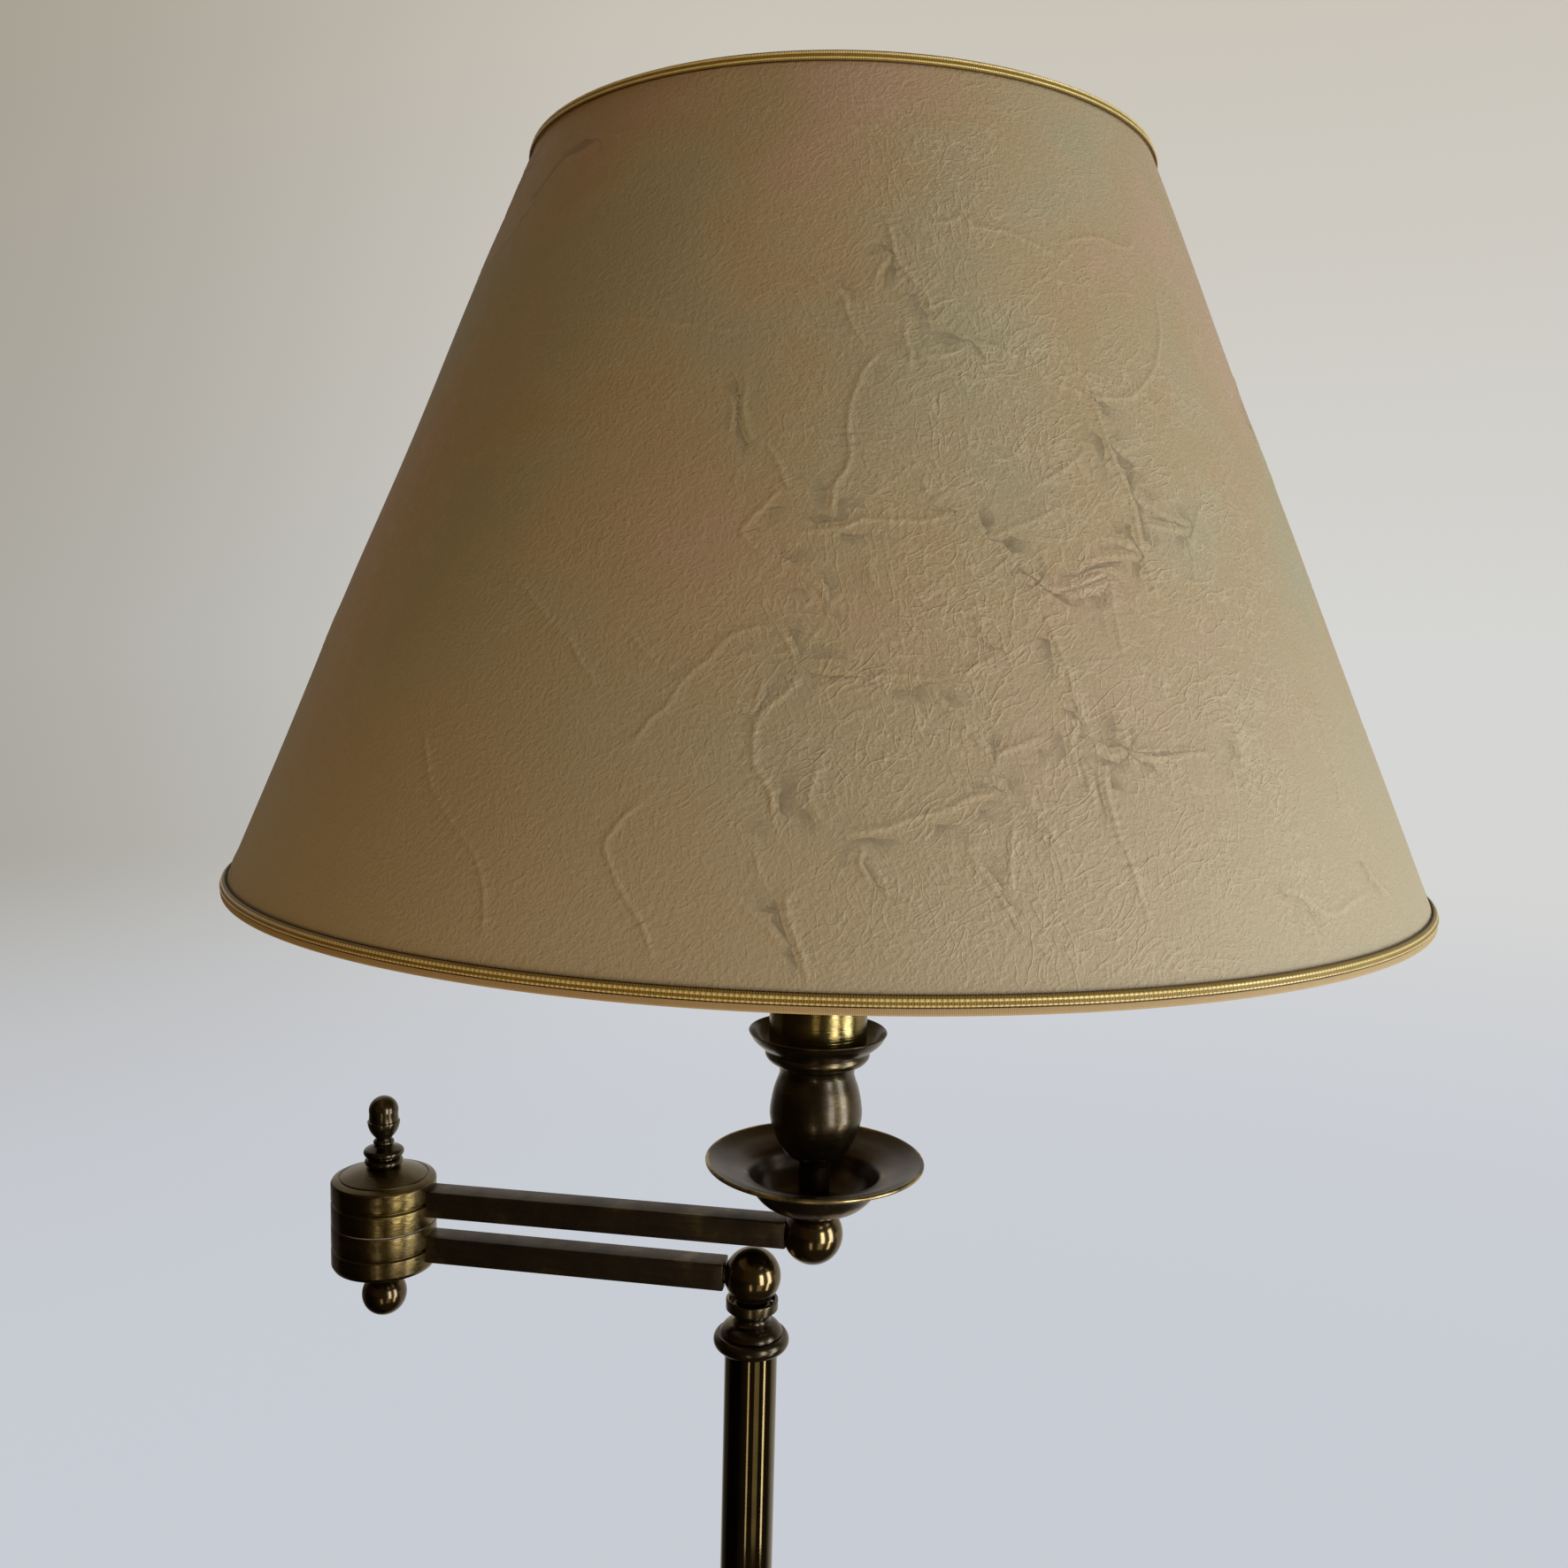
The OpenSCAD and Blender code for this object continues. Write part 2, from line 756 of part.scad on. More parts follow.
module shade_finial() {
    color(brushed) at_candle() difference() {
        turned() {
            band(0, 6.5, hub_z + 2, hub_z + 5);
            band(0, 4.6, hub_z + 4, hub_z + 9);
            round_at(0, hub_z + 12, 5.6);
        }
        bore(bolt_r + fixed_gap, hub_z + cut, hub_z + 14);
    }
}

// ---------------------------------------------------------------- shade

top_ring_z = shade_top_z - 2.4;

// Middle of a wire ring that lies inside the paper
function ring_mid(z) = on_cone(z, -paper_t - ring_wire_r - 0.1);

module wire_ring(z) {
    rotate_extrude() translate(ring_mid(z)) circle(r = ring_wire_r, $fn = 32);
}

// Three spokes, from the hub up to the middle of the top ring's wire
module spokes(spoke_r) {
    hub_mid_z = hub_z + 1;
    reach = ring_mid(top_ring_z)[0];
    spoke_a = atan((top_ring_z - hub_mid_z) / reach);
    for (a = [90, 210, 330]) rotate(a) translate([0, 0, hub_mid_z]) rotate([0, -spoke_a, 0])
        along_x(11.2, reach / cos(spoke_a), spoke_r);
}

// Top ring with its spokes welded to it and to the hub that sits on the harp
module shade_spider() {
    color(raw_brass) at_candle() {
        wire_ring(top_ring_z);
        tube(12, bolt_r + 0.1, hub_z, hub_z + 2);
        spokes(1.3);
    }
}

module shade_bottom_ring() {
    color(raw_brass) at_candle() wire_ring(shade_z + 2.4);
}

module shade_paper() {
    color(parchment) at_candle() rotate_extrude() polygon([
        on_cone(shade_z, 0), on_cone(shade_top_z, 0), on_cone(shade_top_z, -paper_t), on_cone(shade_z, -paper_t)
    ]);
}

// Tape that wraps an edge of the paper and the wire ring inside it: up is 1 at the bottom edge and
// -1 at the top edge
module binding(edge_z, up) {
    inner = -paper_t - 2 * ring_wire_r - 0.3;
    rotate_extrude() polygon([
        on_cone(edge_z - up * tape_t, tape_t), on_cone(edge_z + up * 4.6, tape_t),
        on_cone(edge_z + up * 4.6, 0), on_cone(edge_z, 0), on_cone(edge_z, inner),
        on_cone(edge_z + up * 6, inner), on_cone(edge_z + up * 6, inner - tape_t),
        on_cone(edge_z - up * tape_t, inner - tape_t)
    ]);
}

// Braid that is glued over the tape, as two cords side by side
module braid(low_z, high_z) {
    mid = (low_z + high_z) / 2;
    rotate_extrude() polygon([
        on_cone(low_z, tape_t), on_cone(low_z + 0.2, tape_t + 1), on_cone(mid - 0.3, tape_t + 1),
        on_cone(mid, tape_t + 0.5), on_cone(mid + 0.3, tape_t + 1), on_cone(high_z - 0.2, tape_t + 1),
        on_cone(high_z, tape_t)
    ]);
}

// Slit where the spokes pass through its inner leg
module top_binding() {
    color(tape) at_candle() difference() {
        binding(shade_top_z, -1);
        spokes(1.6);
    }
}

module bottom_binding() {
    color(tape) at_candle() binding(shade_z, 1);
}

module top_braid() {
    color(gold) at_candle() braid(shade_top_z - 4.1, shade_top_z - 0.3);
}

module bottom_braid() {
    color(gold) at_candle() braid(shade_z + 1.6, shade_z + 4.4);
}

felt_pad();
base_weight();
base_cover();
cord_bush();
base_nipple();
base_nut();
base_washer();
base_collar();
pole_lower();
pole_coupling();
pole_upper();
pole_cap();
pole_stop_pin();
swivel_washer();
pole_ball();
pole_pivot();
pivot_spring();
pivot_nut();
lower_arm();
lower_arm_nipples();
elbow_lower();
elbow_bolt();
ball_nut();
elbow_washer();
elbow_spring();
finial_spool();
acorn_finial();
elbow_upper();
elbow_stop_pin();
upper_arm();
upper_arm_nipples();
end_ball();
candle_nipple();
dish_ring();
drip_dish();
dish_stem();
candle_cup();
cup_nut();
candle_sleeve();
lampholder_cap();
holder_nut();
lampholder_skirt();
contact_block();
socket_shell();
harp_plate();
shade_ring_nut();
harp();
harp_stud();
shade_finial();
shade_spider();
shade_bottom_ring();
shade_paper();
top_binding();
bottom_binding();
top_braid();
bottom_braid();
bulb_cap();
bulb_glass();
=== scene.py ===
import json
import math
import random

import bmesh
import bpy
import numpy as np
from mathutils import Matrix, Vector
from mathutils.geometry import delaunay_2d_cdt
from mathutils.kdtree import KDTree


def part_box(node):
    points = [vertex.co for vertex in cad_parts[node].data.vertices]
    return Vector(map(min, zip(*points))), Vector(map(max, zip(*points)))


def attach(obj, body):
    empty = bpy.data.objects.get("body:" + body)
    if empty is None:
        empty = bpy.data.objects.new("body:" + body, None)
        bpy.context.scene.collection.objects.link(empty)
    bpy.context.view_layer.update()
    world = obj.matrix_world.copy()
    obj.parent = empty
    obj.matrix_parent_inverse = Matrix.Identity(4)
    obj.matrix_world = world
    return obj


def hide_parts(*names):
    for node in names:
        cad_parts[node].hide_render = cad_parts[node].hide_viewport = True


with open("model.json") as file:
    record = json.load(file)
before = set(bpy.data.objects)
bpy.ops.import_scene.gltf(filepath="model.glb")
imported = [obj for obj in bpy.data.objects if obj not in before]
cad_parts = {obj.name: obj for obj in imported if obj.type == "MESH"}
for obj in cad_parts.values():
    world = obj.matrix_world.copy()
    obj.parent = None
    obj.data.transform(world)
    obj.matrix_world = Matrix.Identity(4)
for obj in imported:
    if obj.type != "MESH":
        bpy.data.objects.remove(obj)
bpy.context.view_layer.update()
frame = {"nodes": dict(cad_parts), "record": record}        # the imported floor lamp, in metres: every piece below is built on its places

# ------------------------------------------------------------------ places and sizes

MM = 0.001               # outlines are written in millimetres
TURN = 2 * math.pi


def middle(node):
    """Middle of a CAD node's box."""
    low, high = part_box(node)
    return (low + high) / 2


def at(spot, height):
    """A spot's upright axis at a height."""
    return Vector((spot.x, spot.y, height))


ARM_Z = middle("lower_arm").z
UPPER_Z = middle("upper_arm").z
ELBOW_Z = (ARM_Z + UPPER_Z) / 2
pole = at(middle("pole_upper"), ARM_Z)
elbow = at(middle("elbow_bolt"), ELBOW_Z)
candle = at(middle("candle_sleeve"), UPPER_Z)
lower_way = (at(elbow, 0) - at(pole, 0)).normalized()
upper_way = (at(candle, 0) - at(elbow, 0)).normalized()

ARM_SIDE = 11.3
DRUM_R = 22.1
POLE_BALL_R = 11.8
END_BALL_R = 12.5
BALL_NUT_R = 9.5
SPIGOT_R = 9.45
SCREW_R = 5.02           # bore for a 10 mm thread
BOLT_R = 3.02

SHADE_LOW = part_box("shade_paper")[0].z / MM
SHADE_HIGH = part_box("shade_paper")[1].z / MM
SHADE_LOW_R = 224.3
SHADE_HIGH_R = 114.9
PAPER = 0.8
TAPE = 0.5
RING_WIRE_R = 1.6
SHADE_LEAN = math.atan((SHADE_LOW_R - SHADE_HIGH_R) / (SHADE_HIGH - SHADE_LOW))
shade = at(candle, 0)


def on_cone(height, out=0.0):
    """Point of the shade's section: a height above the floor, and a distance out from the paper."""
    share = (height - SHADE_LOW) / (SHADE_HIGH - SHADE_LOW)
    radius = SHADE_LOW_R + (SHADE_HIGH_R - SHADE_LOW_R) * share
    return (radius + out / math.cos(SHADE_LEAN), height)


# ------------------------------------------------------------------ camera

FRAME_PX = 1772
FOCAL_PX = 1584.758
SENSOR = 36.0
CAMERA_AT = Vector((0.0048, -0.5602, 1.3020))
CAMERA_YAW, CAMERA_PITCH, CAMERA_ROLL = -0.006, 0.100, 0.024

look = Vector((
    -math.sin(CAMERA_YAW) * math.cos(CAMERA_PITCH),
    math.cos(CAMERA_YAW) * math.cos(CAMERA_PITCH),
    -math.sin(CAMERA_PITCH),
))
level = Vector((math.cos(CAMERA_YAW), math.sin(CAMERA_YAW), 0))
upright = level.cross(look)
side = math.cos(CAMERA_ROLL) * level + math.sin(CAMERA_ROLL) * upright
top = -math.sin(CAMERA_ROLL) * level + math.cos(CAMERA_ROLL) * upright

bpy.ops.object.camera_add(location=CAMERA_AT)
camera = bpy.context.object
camera.data.sensor_width = SENSOR
camera.data.lens = FOCAL_PX / FRAME_PX * SENSOR
camera.data.clip_start = 0.05
turned = Matrix((side, top, -look)).transposed().to_4x4()
camera.matrix_world = Matrix.Translation(CAMERA_AT) @ turned
bpy.context.scene.camera = camera
bpy.context.scene.view_settings.view_transform = "Standard"

# ------------------------------------------------------------------ nodes and colours

MIX_A, MIX_B, MIX_RESULT = 6, 7, 2       # a Mix node's sockets when it mixes colours


def colour(code):
    """An sRGB hex code as a linear colour."""
    parts = [int(code[i:i + 2], 16) / 255 for i in (1, 3, 5)]
    linear = [p / 12.92 if p <= 0.04045 else ((p + 0.055) / 1.055) ** 2.4 for p in parts]
    return (*linear, 1.0)


def add_node(tree, kind, settings=None, links=None):
    """Adds a node, with settings by socket or property name and links by socket name."""
    made = tree.nodes.new(kind)
    for name, value in (settings or {}).items():
        if name == "stops":
            ramp = made.color_ramp
            while len(ramp.elements) < len(value):
                ramp.elements.new(0.5)
            for element, (place, shade_of) in zip(ramp.elements, value):
                element.position = place
                element.color = shade_of
        elif isinstance(name, int) or name in made.inputs:
            made.inputs[name].default_value = value
        else:
            setattr(made, name, value)
    for name, source in (links or {}).items():
        if isinstance(source, bpy.types.Node):
            source = source.outputs[0]
        tree.links.new(source, made.inputs[name])
    return made


def new_material(name):
    """An empty material, and its node tree."""
    made = bpy.data.materials.new(name)
    made.use_nodes = True
    made.node_tree.nodes.clear()
    return made, made.node_tree


def finish_material(tree, settings, links):
    """The surface that ends a material."""
    surface = add_node(tree, "ShaderNodeBsdfPrincipled", settings, links)
    add_node(tree, "ShaderNodeOutputMaterial", links={"Surface": surface})


# ------------------------------------------------------------------ brass

def turned_brass(name, place, tones, rough, metal, line=0.012, blotch=90.0, polish=0.35, wear=0.8,
                 speckle=0.12, brushed=0.0):
    """Brass turned on a lathe about the upright axis at place, browned and then lacquered.

    tones run from the darkest stain to the metal that shows through, line is the depth of the
    tool's rings in mm, blotch is the stains per metre, speckle is how much finer spots show, polish
    is the share of lacquer, brushed is the depth in mm of the abrasive's fine rings, which draw a
    reflection out upright, and metal is 1 less the share of brown oxide, which has no shine."""
    made, tree = new_material(name)
    coords = add_node(tree, "ShaderNodeTexCoord")
    centred = add_node(tree, "ShaderNodeMapping", {"Location": (-place.x, -place.y, -place.z)},
                       {"Vector": coords.outputs["Object"]})
    # rings: one number that grows along the axis and out from it
    parts = add_node(tree, "ShaderNodeSeparateXYZ", links={0: centred})
    flat = add_node(tree, "ShaderNodeCombineXYZ", links={0: parts.outputs[0], 1: parts.outputs[1]})
    reach = add_node(tree, "ShaderNodeVectorMath", {"operation": "LENGTH"}, {0: flat})
    along = add_node(tree, "ShaderNodeMath", {"operation": "SUBTRACT"},
                     {0: parts.outputs[2], 1: reach.outputs["Value"]})
    rings = add_node(tree, "ShaderNodeTexNoise", {"noise_dimensions": "1D", "Scale": 1400.0,
                                                  "Detail": 2.0, "Roughness": 0.6}, {"W": along})
    # stains left by the browning bath
    stain = add_node(tree, "ShaderNodeTexNoise", {"Scale": blotch, "Detail": 4.0, "Roughness": 0.62},
                     {"Vector": centred})
    speck = add_node(tree, "ShaderNodeTexNoise", {"Scale": blotch * 7, "Detail": 2.0},
                     {"Vector": centred})
    both = add_node(tree, "ShaderNodeMath", {"operation": "MULTIPLY_ADD", 1: speckle},
                    {0: speck, 2: stain})
    ringed = add_node(tree, "ShaderNodeMath", {"operation": "MULTIPLY_ADD", 1: 0.16},
                      {0: rings, 2: both})
    # high edges are rubbed bright and grooves stay brown
    shape = add_node(tree, "ShaderNodeNewGeometry")
    rub = add_node(tree, "ShaderNodeMapRange",
                   {"From Min": 0.46, "From Max": 0.56, "To Min": -0.5 * wear, "To Max": wear},
                   {"Value": shape.outputs["Pointiness"]})
    worn = add_node(tree, "ShaderNodeMath", {"operation": "MULTIPLY_ADD", 1: 0.4},
                    {0: rub, 2: ringed})
    tint = add_node(tree, "ShaderNodeValToRGB", {"stops": [
        (0.40, colour(tones[0])), (0.60, colour(tones[1])), (0.78, colour(tones[2])),
        (1.0, colour(tones[3]))]}, {"Fac": worn})
    dull = add_node(tree, "ShaderNodeMapRange",
                    {"From Min": 0.35, "From Max": 0.7, "To Min": rough * 1.15, "To Max": rough * 0.88},
                    {"Value": stain})
    ring_bump = add_node(tree, "ShaderNodeBump", {"Strength": 0.6, "Distance": line * MM},
                         {"Height": rings})
    # the abrasive's rings are 0.1 mm apart, and are drawn at 0.22 mm
    hair = add_node(tree, "ShaderNodeTexNoise", {"noise_dimensions": "1D", "Scale": 4500.0,
                                                 "Detail": 1.0}, {"W": along})
    bump = add_node(tree, "ShaderNodeBump", {"Strength": 1.0, "Distance": brushed * MM},
                    {"Height": hair, "Normal": ring_bump})
    finish_material(tree, {"Metallic": metal, "Coat Weight": polish, "Coat Roughness": rough * 0.6},
                    {"Base Color": tint, "Roughness": dull, "Normal": bump})
    return made


def drawn_brass(name, place, way, tones, rough):
    """Square brass tube drawn through a die, with lines along it, browned and lacquered."""
    made, tree = new_material(name)
    coords = add_node(tree, "ShaderNodeTexCoord")
    turn = math.atan2(way.y, way.x)
    centred = add_node(tree, "ShaderNodeMapping",
                       {"vector_type": "TEXTURE", "Location": place, "Rotation": (0, 0, turn)},
                       {"Vector": coords.outputs["Object"]})
    long = add_node(tree, "ShaderNodeMapping", {"Scale": (0.03, 1.0, 1.0)}, {"Vector": centred})
    lines = add_node(tree, "ShaderNodeTexNoise", {"Scale": 900.0, "Detail": 3.0, "Roughness": 0.6},
                     {"Vector": long})
    stain = add_node(tree, "ShaderNodeTexNoise", {"Scale": 60.0, "Detail": 5.0, "Roughness": 0.6},
                     {"Vector": centred})
    sum_of = add_node(tree, "ShaderNodeMath", {"operation": "MULTIPLY_ADD", 1: 0.25},
                      {0: lines, 2: stain})
    shape = add_node(tree, "ShaderNodeNewGeometry")
    rub = add_node(tree, "ShaderNodeMapRange", {"From Min": 0.5, "From Max": 0.56, "To Max": 0.3},
                   {"Value": shape.outputs["Pointiness"]})
    worn = add_node(tree, "ShaderNodeMath", {"operation": "ADD"}, {0: rub, 1: sum_of})
    tint = add_node(tree, "ShaderNodeValToRGB", {"stops": [
        (0.42, colour(tones[0])), (0.62, colour(tones[1])), (0.8, colour(tones[2])),
        (1.0, colour(tones[3]))]}, {"Fac": worn})
    dull = add_node(tree, "ShaderNodeMapRange",
                    {"From Min": 0.35, "From Max": 0.7, "To Min": rough + 0.1, "To Max": rough - 0.05},
                    {"Value": stain})
    bump = add_node(tree, "ShaderNodeBump", {"Strength": 0.5, "Distance": 0.01 * MM},
                    {"Height": lines})
    finish_material(tree, {"Metallic": 0.9, "Coat Weight": 0.12, "Coat Roughness": 0.2},
                    {"Base Color": tint, "Roughness": dull, "Normal": bump})
    return made


ANTIQUE = ("#2b2417", "#483d28", "#635437", "#c4aa69")
SPUN = ("#2a1e14", "#3d2f20", "#4a3a27", "#d6bd78")
BRUSHED = ("#43371f", "#5f5030", "#776539", "#bda565")
TUBE = ("#3b3019", "#544724", "#65572f", "#a08c52")
BALL = ("#3a2f1c", "#5d4c2e", "#75613a", "#b09a5e")
POLISHED = ("#54482c", "#655836", "#716340", "#7d6f49")
RAW = ("#8a7238", "#a88c48", "#b89c56", "#c9ae68")
DRAWN = ("#2a2117", "#3c3125", "#4a3e2c", "#786843")
axes = {"pole": pole, "elbow": elbow, "candle": candle}
gloss = {"pole": 0.24, "elbow": 0.22, "candle": 0.24}
metals = {}
for spot, place in axes.items():
    metals["antique_brass", spot] = turned_brass(
        f"antique_brass_{spot}", place, ANTIQUE, gloss[spot], line=0.004, blotch=45.0, wear=0.45,
        speckle=0.04, brushed=0.05 if spot == "candle" else 0.01, metal=0.94)
    # the drum and the ring under the dish: rubbed round with abrasive cloth
    metals["brushed_brass", spot] = turned_brass(
        f"brushed_brass_{spot}", place, BRUSHED, 0.17, line=0.004, blotch=30.0, polish=0.2, wear=0.25,
        speckle=0.04, brushed=0.07, metal=0.97)
    # the balls: buffed bright after browning
    metals["ball", spot] = turned_brass(
        f"buffed_brass_{spot}", place, BALL, 0.17, line=0.002, blotch=50.0, polish=0.4, wear=0.3,
        speckle=0.05, metal=0.97)
    metals["raw_brass", spot] = turned_brass(
        f"raw_brass_{spot}", place, RAW, 0.3, polish=0.0, wear=0.3, metal=1.0)
# the sleeve is a bought tube, brushed round and less brown
metals["sleeve"] = turned_brass("brushed_brass_sleeve", candle, TUBE, 0.16, line=0.006, blotch=40.0,
                                polish=0.2, speckle=0.04, brushed=0.05, metal=0.97)
# the dish is spun from sheet: even and dark, with its rim painted bright all round, partly wear
# and partly a painted highlight
metals["dish"] = turned_brass("spun_brass_dish", candle, SPUN, 0.3, line=0.006, blotch=35.0,
                              wear=1.5, speckle=0.05, metal=0.9)
metals["polished_dark_brass", "pole"] = turned_brass(
    "polished_dark_brass", pole, POLISHED, 0.07, line=0.0, blotch=25.0, wear=0.0, metal=1.0)
arm_brass = {"lower": drawn_brass("drawn_brass_lower", pole, lower_way, DRAWN, 0.34),
             "upper": drawn_brass("drawn_brass_upper", elbow, upper_way, DRAWN, 0.34)}

# ------------------------------------------------------------------ the other materials


def plain(name, dark, pale, scale, rough, bump=0.0, **settings):
    """A moulded, plated or cast surface: two close tones in a noise, its dullness and its grain."""
    made, tree = new_material(name)
    coords = add_node(tree, "ShaderNodeTexCoord")
    grain = add_node(tree, "ShaderNodeTexNoise", {"Scale": float(scale), "Detail": 4.0,
                                                  "Roughness": 0.55},
                     {"Vector": coords.outputs["Object"]})
    tint = add_node(tree, "ShaderNodeValToRGB",
                    {"stops": [(0.35, colour(dark)), (0.7, colour(pale))]}, {"Fac": grain})
    dull = add_node(tree, "ShaderNodeMapRange",
                    {"From Min": 0.3, "From Max": 0.7, "To Min": rough - 0.06, "To Max": rough + 0.06},
                    {"Value": grain})
    links = {"Base Color": tint, "Roughness": dull}
    if bump:
        links["Normal"] = add_node(tree, "ShaderNodeBump", {"Strength": 0.8, "Distance": bump * MM},
                                   {"Height": grain})
    finish_material(tree, {name.replace("_", " "): value for name, value in settings.items()}, links)
    return made


plainly = {
    # thin zinc over steel: cool grey with cloudy patches
    "zinc_steel": plain("zinc_steel", "#8d9092", "#b3b6b8", 220, 0.34, 0.01, Metallic=1.0),
    # grey iron from a sand mould, painted black: rough and dead
    "cast_iron": plain("cast_iron", "#1a1a1b", "#2d2d2f", 900, 0.75, 0.3),
    # pressed wool: short fibres, no shine at all
    "felt": plain("felt", "#28301f", "#3d4a33", 1500, 0.95, 0.4, Sheen_Weight=0.4),
    # soft black PVC
    "black_bush": plain("black_bush", "#141414", "#1f1f20", 700, 0.5, 0.02),
    # turned nylon, slightly waxy
    "nylon": plain("nylon", "#cdc8b8", "#dedacb", 300, 0.45, 0.01),
    # pressed phenolic resin, glossy black-brown
    "black_phenolic": plain("black_phenolic", "#16120f", "#241d18", 500, 0.22, 0.01),
    # glazed steatite
    "white_porcelain": plain("white_porcelain", "#dbd6c8", "#ebe7db", 120, 0.2, 0.01),
    # steel wire with a thin brass plating
    "brassed_wire": plain("brassed_wire", "#8f7840", "#b59b58", 260, 0.3, 0.02, Metallic=1.0),
    # glass with a white coat inside, bright all over
    "opal_glass": plain("opal_glass", "#ece8dc", "#f5f2e8", 60, 0.14, 0.0, Coat_Weight=0.5),
}

# ------------------------------------------------------------------ the shade's materials


WRINKLE_HALF = 0.05      # a wrinkle's half width, as a share of its noise's range


def wrinkles(tree, sheet_place, turn, shift):
    """Thin wrinkles that run one way over the flat sheet: the middle lines of a stretched noise.

    Each is 8 to 15 mm long and 3 mm from the next, and they lie in patches. turn is their
    direction in degrees."""
    laid = add_node(tree, "ShaderNodeMapping", {"vector_type": "TEXTURE", "Scale": (3.4, 1.0, 1.0),
                                                "Rotation": (0, 0, math.radians(turn))},
                    {"Vector": sheet_place})
    field = add_node(tree, "ShaderNodeTexNoise", {"noise_dimensions": "4D", "Scale": 280.0,
                                                  "Detail": 1.5, "Roughness": 0.45, "W": shift},
                     {"Vector": laid})
    past = add_node(tree, "ShaderNodeMath", {"operation": "SUBTRACT", 1: 0.5}, {0: field})
    away = add_node(tree, "ShaderNodeMath", {"operation": "ABSOLUTE"}, {0: past})
    line = add_node(tree, "ShaderNodeMapRange",
                    {"interpolation_type": "SMOOTHSTEP", "From Max": WRINKLE_HALF, "To Min": 1.0,
                     "To Max": 0.0}, {"Value": away})
    patch = add_node(tree, "ShaderNodeTexNoise", {"noise_dimensions": "4D", "Scale": 44.0,
                                                  "Detail": 2.0, "Roughness": 0.5, "W": shift},
                     {"Vector": sheet_place})
    kept = add_node(tree, "ShaderNodeMapRange", {"interpolation_type": "SMOOTHSTEP", "From Min": 0.38,
                                                 "From Max": 0.6}, {"Value": patch})
    return add_node(tree, "ShaderNodeMath", {"operation": "MULTIPLY"}, {0: line, 1: kept})


